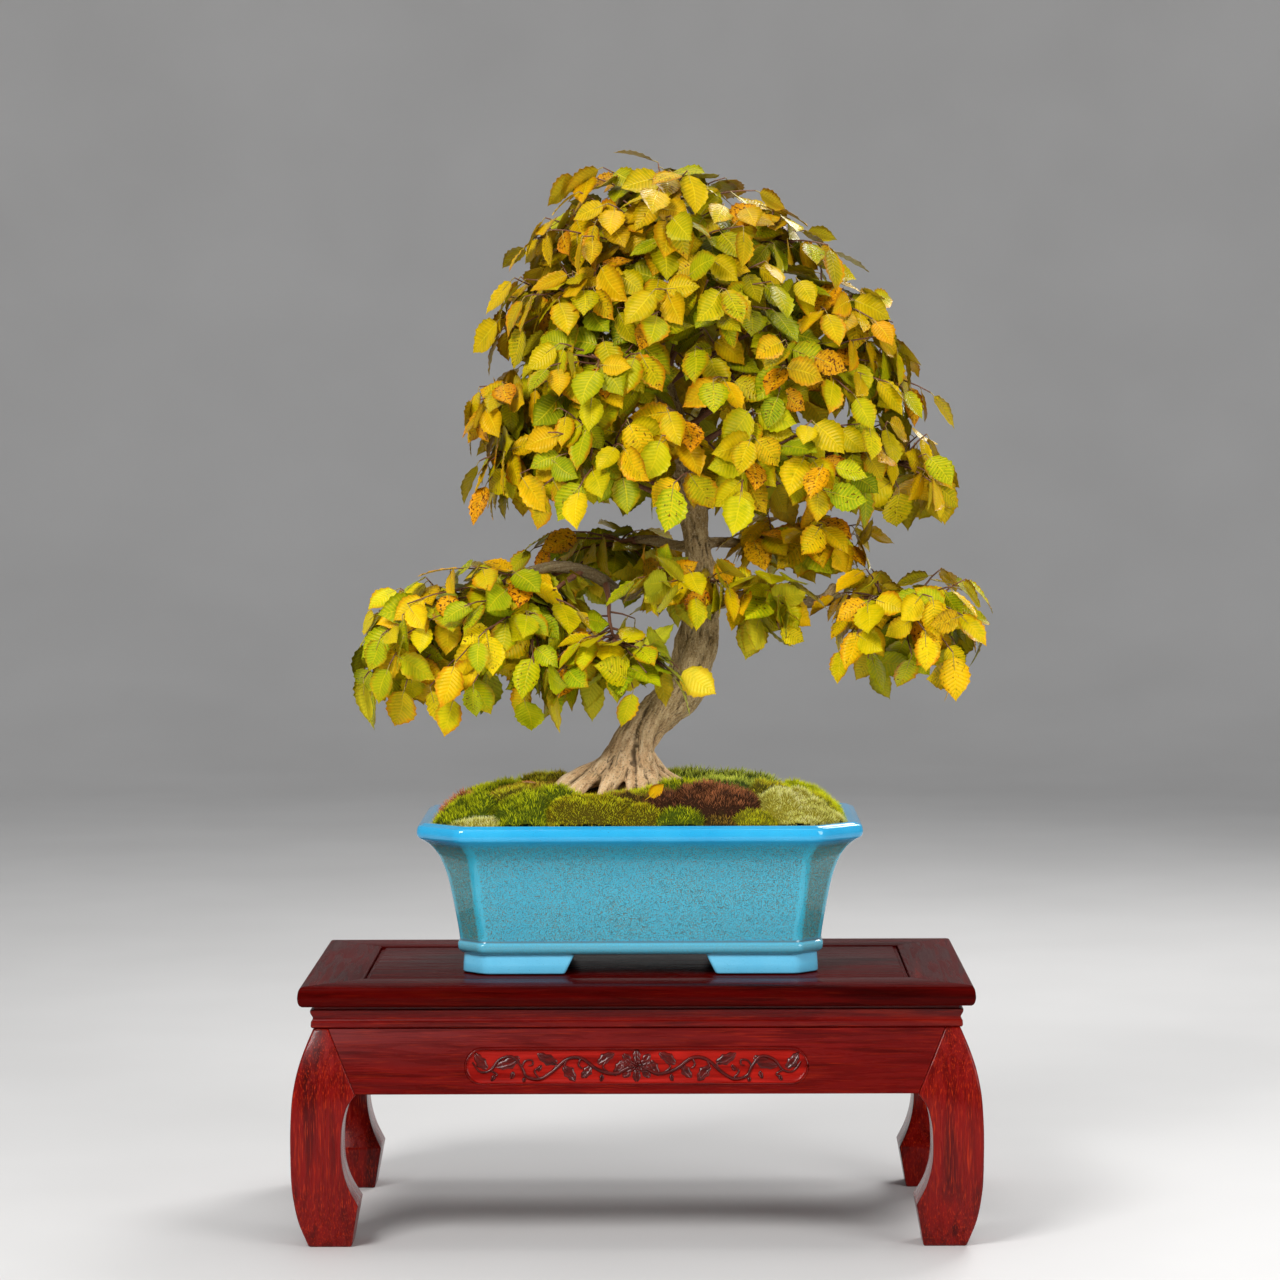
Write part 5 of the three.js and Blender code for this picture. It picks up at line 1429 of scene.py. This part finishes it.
def leaf_tone(place, out_share, draws):
    """Colour of one leaf: golden outside and at the top, greener inside and low down, and painted darker
    towards the top as painted shade.
    """
    origin = place[0]
    patch = float(noise((origin / 55)[None], 61)[0])
    warm = 0.62 + 0.6 * (patch - 0.5) + 0.55 * (draws[0] - 0.5) - 0.45 * (1 - out_share)
    warm += 0.18 * np.clip((origin[2] - 560) / 280, -1, 1)
    if warm > 0.5:
        tone = mix(LIME, GOLD, np.clip((warm - 0.5) / 0.3, 0, 1))
    elif warm > 0.2:
        tone = mix(GREEN, LIME, (warm - 0.2) / 0.3)
    else:
        tone = mix(OLIVE, GREEN, np.clip(warm / 0.2, 0, 1))
    old = 0.0
    if draws[1] > 0.9 and warm > 0.35:
        old = (draws[1] - 0.9) * 10
        tone = mix(tone, ORANGE, 0.35 + 0.5 * old)
    # painted shade: leaves are painted darker the higher they grow, to offset the stronger light on the top
    # of the crown
    tone = tone * (0.86 + 0.28 * draws[2]) * mix(1.1, 0.72, np.clip((origin[2] - 480) / 300, 0, 1))
    return tone, (old, draws[3], draws[4])


def spur_of(which, index, stem):
    """A short shoot off the side of a stem, and the way it points."""
    share = mix(*SPUR["place"], (index + chance(which, index, 2, 71)) / SPUR["number"])
    origin, onward = stem.point(share), stem.tangent(share)
    lateral = unit(np.cross(onward, vec(0, 0.2, 1))) * (1 if index % 2 else -1)
    way = unit(lateral + 0.5 * onward + vec(0, 0, 0.5 * chance(which, index, 3, 71)))
    tip = origin + way * mix(*SPUR["length"], chance(which, index, 4, 71))
    return Bow(origin, (origin + tip) / 2 + vec(0, 0, 2), tip), way


def free_place(placed, which, twig_index, index, twig, out):
    """Take the place where a leaf crosses the fewest others, or none if it crosses too many."""
    least, best = SPARE_CROSSINGS, None
    for attempt in range(ATTEMPTS):
        trial = leaf_place(which, twig_index, index, twig, out, attempt)
        crossing = placed.conflict(trial)
        if crossing < least:
            least, best = crossing, trial
        if crossing == 0:
            break
    if best is not None:
        placed.add(best)
    return best


class Branch:
    """One leafy branch end: its stem, twigs and short shoots, with their leaves."""

    def __init__(self, row, which, placed):
        self.row, self.which, self.placed = row, which, placed
        self.leaves, self.twigs = Heap(), Heap()
        self.stem, self.start = stem_of(row, which)
        self.found = kept_attempts(row, which, self.stem, self.start)
        for (twig_index, index), attempt in self.found.items():
            twig, out = self.twig(twig_index)
            placed.add(leaf_place(which, twig_index, index, twig, out, attempt))

    def twig(self, twig_index):
        return twig_of(self.row, self.which, twig_index, self.stem, self.start)

    def grow_stem(self):
        shares = np.linspace(0, 1, 12)
        bent = [self.stem.point(t) + 1.1 * math.sin(math.pi * t)
                * vec(math.sin(9 * t + self.which), math.cos(7 * t), 0) for t in shares]
        radii = [mix(1.9 + 1.5 * (1 - t) ** 4, STEM["tip"] * 0.8, t) for t in shares]
        self.twigs.add(*closed_tube(bent, radii, 7), tint=BROWN * 1.3)

    def grow_leaf(self, place, out_share, draws):
        if place is not None:
            tone, age = leaf_tone(place, out_share, draws)
            add_leaf(self.leaves, self.twigs, place, int(draws[5] * LOOKS), tone, age)

    def grow_twig(self, twig_index):
        which = self.which
        twig, out = self.twig(twig_index)
        path = np.array([twig.point(t) for t in np.linspace(0, 1, 7)])
        side = unit(np.cross(twig.tangent(0.5), out + 1e-3))
        path[1:-1] += np.outer([0.5, -0.5, 0.5, -0.5, 0.4], side)
        radii = np.linspace(TWIG["root"], TWIG["tip"] * 0.7, 7)
        tint = BROWN * (1 + 0.5 * chance(which, twig_index, 1, 51))
        self.twigs.add(*closed_tube(path, radii, 5), tint=tint)
        out_share = 1 - 0.8 * chance(which, twig_index, 3, 1) ** 2
        for index in range(LEAF["per_twig"]):
            if (twig_index, index) in self.found:
                place = leaf_place(which, twig_index, index, twig, out, self.found[twig_index, index])
            else:
                place = free_place(self.placed, which, twig_index, index, twig, out)
            draws = [chance(which * MOST_TWIGS + twig_index, index, k, 91) for k in range(6)]
            self.grow_leaf(place, out_share, draws)

    def grow_spur(self, spur_index):
        which = self.which
        spur, out = spur_of(which, spur_index, self.stem)
        if not clear_of_wood(spur.point(1)[None], 8)[0]:
            return
        path = [spur.point(t) for t in (0, 0.5, 1)]
        self.twigs.add(*closed_tube(path, [0.9, 0.75, 0.5], 5), tint=BROWN * 1.2)
        for index in SPUR["leaves"]:
            place = free_place(self.placed, which, SPUR["first"] + spur_index, index, spur, out)
            draws = [chance(which * MOST_TWIGS + spur_index, index, k, 97) for k in range(6)]
            self.grow_leaf(place, 0.7, draws)


def build_foliage(leaf_look, twig_look):
    placed = Placed(sum(TWIGS_IN[row[1]] * LEAF["per_twig"] + SPUR["number"] * len(SPUR["leaves"])
                        for row in BRANCHES))
    for branch in [Branch(row, which, placed) for which, row in enumerate(BRANCHES)]:
        branch.grow_stem()
        for twig_index in range(TWIGS_IN[branch.row[1]]):
            branch.grow_twig(twig_index)
        for spur_index in range(SPUR["number"]):
            branch.grow_spur(spur_index)
        name = branch.row[0]
        branch.leaves.make("foliage_" + name, leaf_look, "leaf", ["leaves_" + name])
        branch.twigs.make("twigs_" + name, twig_look, "bark")


# Fallen leaves

def moss_height(x, y):
    x, y = vec(x), vec(y)
    return float(soil_height(x, y)[0] + cushion_field(x, y)[0][0])


def drop_leaf(name, origin, axis, across, scale, shape, tone, age, look, instead=()):
    """A leaf that lies on the moss, its blade and stalk in one piece."""
    axis = unit(axis)
    normal = unit(np.cross(axis, across))
    leaves, stalks = Heap(), Heap()
    add_leaf(leaves, stalks, (origin, axis, normal, np.cross(normal, axis), scale), shape, tone, age)
    leaves.add(*stalks.whole(), grain=(0.1, 0.5, 0), tone=tone, age=age)
    leaves.make(name, look, "leaf", instead)


def build_fallen(look):
    drop_leaf("fallen_leaf_yellow", vec(7, -71, moss_height(10, -71) + 1.6), vec(0.74, -0.1, 0.58),
              vec(-0.4, -0.35, 0.8), 0.5, 2, GOLD * 1.05, (0.1, 0.2, 0.9), look, ["fallen_leaf"])
    drop_leaf("fallen_leaf_dry", vec(-96, -30, moss_height(-96, -30) + 4), vec(0.9, 0.2, 0.02),
              vec(-0.2, 0.9, 0.1), 0.42, 5, ORANGE * 0.5, (0.9, 0.9, 0.9), look)


# Materials

class Nodes:
    """A node material built step by step."""

    def __init__(self, name, rough=0.5, **fixed):
        self.material = bpy.data.materials.new(name)
        self.material.use_nodes = True
        self.tree = self.material.node_tree
        self.shader = self.tree.nodes["Principled BSDF"]
        self.shader.inputs["Roughness"].default_value = rough
        for key, value in fixed.items():
            self.shader.inputs[key.replace("_", " ")].default_value = value

    def new(self, kind, inputs=None, **settings):
        node = self.tree.nodes.new(kind)
        for key, value in settings.items():
            setattr(node, key, value)
        for key, value in (inputs or {}).items():
            socket = node.inputs[key]
            if isinstance(value, bpy.types.NodeSocket):
                self.tree.links.new(value, socket)
            else:
                socket.default_value = value
        return node

    def place(self):
        return self.new("ShaderNodeTexCoord").outputs["Object"]

    def scaled(self, source, scale):
        return self.new("ShaderNodeMapping", {"Vector": source, "Scale": scale}).outputs["Vector"]

    def noise(self, source, scale, detail=3.0, roughness=0.55, distortion=0.0):
        return self.new("ShaderNodeTexNoise", {"Vector": source, "Scale": scale, "Detail": detail,
                                               "Roughness": roughness,
                                               "Distortion": distortion}).outputs["Fac"]

    def attribute(self, name):
        return self.new("ShaderNodeAttribute", attribute_name=name).outputs

    def split(self, color):
        return self.new("ShaderNodeSeparateColor", {"Color": color}).outputs

    def math(self, operation, a, b=0.0):
        return self.new("ShaderNodeMath", {0: a, 1: b}, operation=operation).outputs[0]

    def times(self, a, b):
        return self.math("MULTIPLY", a, b)

    def plus(self, a, b):
        return self.math("ADD", a, b)

    def minus(self, a, b):
        return self.math("SUBTRACT", a, b)

    def range(self, value, low, high, to_low=0.0, to_high=1.0):
        return self.new("ShaderNodeMapRange", {"Value": value, "From Min": low, "From Max": high,
                                               "To Min": to_low, "To Max": to_high}).outputs[0]

    def ramp(self, value, stops):
        node = self.new("ShaderNodeValToRGB", {"Fac": value})
        elements = node.color_ramp.elements
        while len(elements) < len(stops):
            elements.new(0.5)
        for element, (position, color) in zip(elements, stops):
            element.position = position
            element.color = (*color, 1)
        return node.outputs["Color"]

    def mix(self, factor, a, b, blend="MIX"):
        node = self.new("ShaderNodeMix", data_type="RGBA", blend_type=blend)
        for index, value in ((0, factor), (6, a), (7, b)):
            if isinstance(value, bpy.types.NodeSocket):
                self.tree.links.new(value, node.inputs[index])
            elif index == 0:
                node.inputs[0].default_value = value
            else:
                node.inputs[index].default_value = (*value, 1)
        return node.outputs[2]

    def bump(self, height, strength, distance):
        inputs = {"Height": height, "Strength": strength, "Distance": distance}
        return self.new("ShaderNodeBump", inputs).outputs["Normal"]

    def set(self, **sockets):
        for key, source in sockets.items():
            self.tree.links.new(source, self.shader.inputs[key.replace("_", " ")])
        return self.material


def wood_look(name, axis, dark=1.0, pores=0.6, shine=0.12, specular=0.12, field=False):
    """Red lacquered wood with the grain along one axis."""
    n = Nodes(name, 0.28, Coat_Weight=shine, Coat_Roughness=0.08, Specular_IOR_Level=specular)
    stretch = [1.0, 1.0, 1.0]
    stretch[axis] = 0.07
    grain = n.scaled(n.place(), stretch)
    broad = n.noise(grain, 34, 3, 0.5, 1.2)
    fine = n.noise(grain, 190, 4, 0.6, 0.6)
    stretch[axis] = 0.03
    hair = n.noise(n.scaled(n.place(), stretch), 1300, 2, 0.6)
    cloud = n.noise(n.place(), 9, 2)
    red = [c * dark for c in (0.145, 0.002, 0.0012)]
    deep = [c * dark for c in (0.04, 0.0012, 0.0012)]
    warm = [c * dark for c in (0.28, 0.012, 0.003)]
    bands = n.ramp(broad, [(0.3, deep), (0.46, red), (0.6, [c * 0.85 for c in red]), (0.76, warm)])
    streaks = n.ramp(fine, [(0.3, (0.3, 0.3, 0.3)), (0.52, (1, 1, 1)), (0.75, (1.3, 1.3, 1.3))])
    color = n.mix(0.8, bands, streaks, "MULTIPLY")
    flecks = n.range(hair, 0.54, 0.72)
    color = n.mix(n.times(flecks, pores * 0.5), color, [c * dark for c in (0.5, 0.035, 0.004)])
    color = n.mix(n.range(cloud, 0.35, 0.7, 0, 0.45), color, [c * 0.5 for c in red])
    if field:
        bright = n.ramp(fine, [(0.3, (0.15, 0.002, 0.001)), (0.7, (0.4, 0.008, 0.003))])
        color = n.mix(n.split(n.attribute("field")["Color"])["Red"], color, bright)
    rough = n.range(fine, 0.3, 0.7, 0.2, 0.34)
    pore_depth = n.plus(n.times(fine, 0.5), n.times(hair, 0.5))
    return n.set(Base_Color=color, Roughness=rough, Normal=n.bump(pore_depth, 0.12, 0.0006))


def scroll_look():
    n = Nodes("dark_carving", 0.25, Coat_Weight=0.25, Coat_Roughness=0.1, Specular_IOR_Level=0.2)
    grain = n.noise(n.scaled(n.place(), (0.2, 1, 1)), 400, 3)
    color = n.ramp(grain, [(0.3, (0.03, 0.0015, 0.001)), (0.7, (0.12, 0.004, 0.002))])
    return n.set(Base_Color=color, Normal=n.bump(grain, 0.15, 0.0004))


def glaze_look():
    n = Nodes("speckled_blue_glaze", 0.16, Coat_Weight=0.4, Coat_Roughness=0.04, Specular_IOR_Level=0.4)
    place = n.place()
    corner = n.split(n.attribute("corner")["Color"])
    height = n.new("ShaderNodeSeparateXYZ", {"Vector": place}).outputs["Z"]
    wobble = n.noise(place, 60, 3)
    level = n.plus(height, n.times(n.minus(wobble, 0.5), 0.003))
    # 1 on the walls, 0 on lip, foot band and feet
    wall = n.times(n.range(level, 0.2295, 0.2325), n.range(level, 0.312, 0.3065))
    band = n.times(n.range(height, 0.2195, 0.2205), n.range(height, 0.2305, 0.2285))
    seam = n.times(n.range(height, 0.2288, 0.2299), n.range(height, 0.2318, 0.2302))
    pool = n.noise(place, 24, 4, 0.6)
    fine = n.noise(place, 1900, 2, 0.7)
    coarse = n.noise(place, 1150, 3, 0.7)
    bare = n.times(corner["Green"], n.range(pool, 0.35, 0.6, 0.9, 0.4))
    dense = n.plus(n.range(pool, 0.3, 0.7, -0.025, 0.03), n.times(corner["Red"], 0.06))
    dense = n.minus(dense, n.times(bare, 0.14))
    specks = n.range(n.plus(coarse, dense), 0.5, 0.57)
    dots = n.times(n.range(fine, 0.52, 0.6), n.minus(0.8, bare))
    clear = n.ramp(pool, [(0.3, (0.014, 0.35, 0.66)), (0.7, (0.028, 0.41, 0.72))])
    foot = n.ramp(pool, [(0.3, (0.14, 0.6, 0.9)), (0.7, (0.19, 0.66, 0.94))])
    sky = n.ramp(pool, [(0.3, (0.04, 0.42, 0.6)), (0.7, (0.06, 0.5, 0.68))])
    brown = n.ramp(n.noise(place, 330, 2), [(0.35, (0.025, 0.065, 0.06)), (0.65, (0.13, 0.11, 0.04))])
    spotted = n.mix(n.times(dots, 0.35), sky, (0.1, 0.26, 0.28))
    spotted = n.mix(n.times(specks, 0.8), spotted, brown)
    shaded = n.mix(1.0, spotted, (1.05, 0.86, 0.74), "MULTIPLY")
    spotted = n.mix(n.times(corner["Red"], n.minus(1.0, bare)), spotted, shaded)
    pale = n.mix(n.times(specks, 0.3), (0.1, 0.44, 0.6), (0.16, 0.2, 0.15))
    sparse = n.times(n.range(coarse, 0.64, 0.7), 0.6)
    plain = n.mix(n.range(height, 0.221, 0.2195), clear, foot)
    color = n.mix(sparse, plain, (0.02, 0.1, 0.16))
    color = n.mix(band, color, pale)
    color = n.mix(wall, color, spotted)
    color = n.mix(n.times(seam, 0.7), color, (0.12, 0.12, 0.07))
    marks = n.times(specks, wall)
    rough = n.range(marks, 0, 1, 0.12, 0.34)
    bump = n.plus(n.times(marks, -0.4), n.times(pool, 0.6))
    return n.set(Base_Color=color, Roughness=rough, Normal=n.bump(bump, 0.25, 0.0006))


def grit_look(name, rough, scale, detail, low, high, depth, distance):
    """A dull ground of two colours, rough to the touch."""
    n = Nodes(name, rough)
    grit = n.noise(n.place(), scale, *detail)
    color = n.ramp(grit, [(0.3, low), (0.7, high)])
    return n.set(Base_Color=color, Normal=n.bump(grit, depth, distance))


def tinted_look(name, rough, amount, scale, **fixed):
    """Colour from a piece's tint attribute, varied by noise; the moss tint also carries painted shade."""
    n = Nodes(name, rough, **fixed)
    tint = n.attribute("tint")["Color"]
    grit = n.noise(n.place(), scale, 3, 0.6)
    shade = n.ramp(grit, [(0.25, [1 - amount] * 3), (0.75, [1 + amount] * 3)])
    return n.set(Base_Color=n.mix(1.0, tint, shade, "MULTIPLY"), Normal=n.bump(grit, 0.3, 0.0006))


def bark_look():
    n = Nodes("bark", 0.8, Specular_IOR_Level=0.25)
    parts = n.split(n.attribute("wood")["Color"])
    place = n.place()
    streak = n.noise(n.attribute("flow")["Vector"], 280, 4, 0.65, 0.4)
    speck = n.noise(place, 620, 3, 0.7)
    patch = n.noise(place, 55, 3, 0.6)
    pale = n.ramp(streak, [(0.25, (0.36, 0.2, 0.09)), (0.45, (0.72, 0.46, 0.24)), (0.75, (0.92, 0.7, 0.44))])
    grey = n.ramp(streak, [(0.25, (0.12, 0.078, 0.032)), (0.5, (0.42, 0.29, 0.13)),
                           (0.78, (0.72, 0.55, 0.3))])
    low = n.range(n.plus(parts["Red"], n.times(n.minus(patch, 0.5), 0.9)), 0.3, 1.0)
    color = n.mix(low, grey, pale)
    color = n.mix(n.times(n.range(speck, 0.56, 0.66), 0.65), color, (0.72, 0.62, 0.38))
    color = n.mix(n.times(n.range(speck, 0.44, 0.32), 0.75), color, (0.1, 0.06, 0.025))
    # painted shade in the bark's cracks and sunk hollows, from the green of the wood attribute
    color = n.mix(n.range(parts["Green"], 0.25, 1.0, 0, 0.8), color, (0.05, 0.028, 0.012))
    # painted shade: the limbs grow darker further out from the trunk
    color = n.mix(1.0, color, n.range(parts["Red"], -1.0, 0.0, 0.4, 1.0), "MULTIPLY")
    moss = n.times(n.range(patch, 0.56, 0.7), n.range(parts["Blue"], 0.4, 0.7))
    color = n.mix(n.times(moss, 0.3), color, (0.16, 0.15, 0.03))
    height = n.plus(streak, n.times(speck, 0.4))
    return n.set(Base_Color=color, Normal=n.bump(height, 0.8, 0.0018))


def leaf_look():
    n = Nodes("autumn_leaf", 0.36, Specular_IOR_Level=0.25, Specular_Tint=(1, 0.84, 0.3, 1))
    grain = n.split(n.attribute("grain")["Color"])
    tone = n.attribute("tone")["Color"]
    age = n.split(n.attribute("age")["Color"])
    along, side, under = grain["Red"], grain["Green"], grain["Blue"]
    across = n.times(n.math("ABSOLUTE", n.minus(side, 0.5)), 2.0)
    # lateral veins lean towards the tip
    slope = n.minus(n.times(along, 11.5), n.times(across, 1.5))
    rib = n.math("ABSOLUTE", n.minus(n.math("FRACT", slope), 0.5))
    vein = n.times(n.range(rib, 0.09, 0.015), n.range(across, 1.0, 0.7))
    middle = n.range(across, 0.075, 0.02)
    veins = n.math("MAXIMUM", vein, middle)
    place = n.place()
    blotch = n.noise(place, 120, 3, 0.6)
    spots = n.noise(place, 420, 2, 0.6)
    pores = n.noise(place, 2200, 2)
    shade = n.ramp(blotch, [(0.28, (0.66, 0.78, 0.8)), (0.5, (1, 1, 1)), (0.75, (1.18, 1.1, 1.0))])
    color = n.mix(0.85, tone, shade, "MULTIPLY")
    # greener between the veins, yellow along them
    green = n.times(n.range(rib, 0.12, 0.4), n.range(age["Green"], 0.2, 0.9, 0.15, 0.75))
    color = n.mix(green, color, n.mix(1.0, color, (0.62, 0.86, 0.9), "MULTIPLY"))
    color = n.mix(n.times(veins, 0.42), color, (0.8, 0.62, 0.01))
    rim = n.plus(n.math("MAXIMUM", across, n.times(along, 0.9)), n.times(blotch, 0.9))
    margin = n.times(n.range(rim, 1.1, 1.55), n.range(age["Blue"], 0.4, 0.85, 0, 0.85))
    color = n.mix(margin, color, (0.58, 0.15, 0.004))
    old = n.times(n.range(spots, 0.56, 0.62), n.range(age["Red"], 0.05, 0.5))
    few = n.times(n.range(spots, 0.62, 0.66), n.range(age["Green"], 0.5, 0.8, 0, 0.85))
    color = n.mix(n.math("MAXIMUM", old, few), color, (0.1, 0.02, 0.004))
    color = n.mix(under, color, n.mix(0.4, color, (0.62, 0.56, 0.04)))
    height = n.plus(n.times(n.range(rib, 0.0, 0.5), 0.8), n.times(pores, 0.12))
    height = n.minus(height, n.times(middle, 0.6))
    return n.set(Base_Color=color, Normal=n.bump(height, 0.5, 0.0005))


def floor_look():
    n = Nodes("pale_floor", 0.6)
    soft = n.noise(n.place(), 3, 2)
    color = n.ramp(soft, [(0.3, (0.62, 0.61, 0.6)), (0.7, (0.66, 0.65, 0.64))])
    return n.set(Base_Color=color)


# Picture

def lamp(name, place, target, size, power):
    data = bpy.data.lights.new(name, "AREA")
    data.shape = "RECTANGLE"
    data.size, data.size_y = size
    data.energy = power
    light = linked(bpy.data.objects.new(name, data))
    light.location = place
    light.rotation_euler = (Vector(target) - Vector(place)).to_track_quat("-Z", "Y").to_euler()


STUDIO = dict(reach=5.5, bend=1.8, height=4.0, sides=96)
# focal length and picture in pixels, angles in radians
CAMERA = dict(place=(34.9, -3200, 645.4), yaw=0.0101, pitch=0.0567, roll=-0.0041, focal=3990, picture=1280,
              sensor=36)


def build_camera():
    yaw, pitch, roll = CAMERA["yaw"], CAMERA["pitch"], CAMERA["roll"]
    forward = Vector((-math.sin(yaw) * math.cos(pitch), math.cos(yaw) * math.cos(pitch), -math.sin(pitch)))
    right = Vector((math.cos(yaw), math.sin(yaw), 0))
    up = right.cross(forward)
    turn = Matrix((right * math.cos(roll) + up * math.sin(roll),
                   up * math.cos(roll) - right * math.sin(roll), -forward)).transposed()
    data = bpy.data.cameras.new("camera")
    data.lens = CAMERA["sensor"] * CAMERA["focal"] / CAMERA["picture"]
    data.sensor_width = CAMERA["sensor"]
    data.clip_end = 50
    camera = linked(bpy.data.objects.new("camera", data))
    camera.matrix_world = Matrix.Translation(Vector(vec(*CAMERA["place"]) * MM + SHIFT)) @ turn.to_4x4()
    bpy.context.scene.camera = camera


def build_studio():
    """A round pale floor that bends up into a wall on every side, wide enough to hold the camera."""
    t = np.linspace(0, 2 * math.pi, STUDIO["sides"], endpoint=False)
    bends = np.radians(np.linspace(0, 90, 12))
    flat = STUDIO["reach"] - STUDIO["bend"]
    profile = [(flat + STUDIO["bend"] * math.sin(a), STUDIO["bend"] * (1 - math.cos(a))) for a in bends]
    profile.append((STUDIO["reach"], STUDIO["height"]))
    points = np.concatenate([np.stack([r * np.cos(t), r * np.sin(t), np.full(len(t), z)], axis=1)
                             for r, z in profile])
    faces = ring_faces(len(profile), STUDIO["sides"])[:, ::-1].tolist() + [list(range(STUDIO["sides"]))]
    mesh = bpy.data.meshes.new("studio_floor")
    mesh.from_pydata(points.tolist(), [], faces)
    mesh.polygons.foreach_set("use_smooth", [True] * len(mesh.polygons))
    mesh.materials.append(floor_look())
    floor = linked(bpy.data.objects.new("studio_floor", mesh))
    floor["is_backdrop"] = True
    world = bpy.data.worlds.new("studio")
    world.use_nodes = True
    background = world.node_tree.nodes["Background"]
    background.inputs["Color"].default_value = (0.93, 0.96, 1, 1)
    background.inputs["Strength"].default_value = 0.35
    bpy.context.scene.world = world
    lamp("key", (-1.1, -1.9, 2.1), (0, 0, 0.45), (0.9, 0.9), 60)
    lamp("fill", (1.6, -1.7, 1.2), (0, 0, 0.4), (1.2, 1.2), 26)
    lamp("top", (0.1, 0.2, 2.4), (0, 0, 0.5), (1.2, 1.0), 16)
    lamp("back", (1.0, 1.6, 1.9), (0, 0, 0.5), (0.9, 0.9), 30)


bpy.context.scene.view_settings.view_transform = "Standard"
build_camera()
build_studio()
lacquer = {
    "x": wood_look("lacquer_along_x", 0),
    "y": wood_look("lacquer_along_y", 1),
    "leg": wood_look("lacquer_upright", 2, 1.3, 1.2),
    # the top's boards and panel are painted at half brightness, a painted dark reflection, with little shine
    "top_x": wood_look("lacquer_with_painted_dark_reflection_along_x", 0, 0.5, 0.3, 0.05, 0.01),
    "top_y": wood_look("lacquer_with_painted_dark_reflection_along_y", 1, 0.5, 0.3, 0.05, 0.01),
    "apron": wood_look("lacquer_apron", 0),
    "field": wood_look("lacquer_carved_apron", 0, field=True),
}
build_top(lacquer)
build_waist(lacquer)
build_legs(lacquer)
build_aprons(lacquer)
build_scroll(scroll_look())
build_pot(glaze_look())
build_soil(grit_look("soil_grit", 0.9, 900, (4, 0.7), (0.008, 0.005, 0.003), (0.07, 0.045, 0.025),
                     0.8, 0.0015))
build_moss(tinted_look("moss_tuft", 0.9, 0.2, 700, Specular_IOR_Level=0.1))
build_trunk(bark_look())
leaf_material = leaf_look()
build_foliage(leaf_material, tinted_look("twig_bark", 0.6, 0.35, 900))
build_fallen(leaf_material)
for side in ("left", "right"):
    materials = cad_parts[f"drain_screen_{side}"].data.materials
    materials.clear()
    materials.append(grit_look("screen_mesh", 0.6, 800, (2,), (0.012, 0.012, 0.012), (0.03, 0.03, 0.03),
                               0.3, 0.0004))

boxes = {"cad": cad_box, "visual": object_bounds()}
{key: [[float(v) for v in corner] for corner in box] for key, box in boxes.items()}
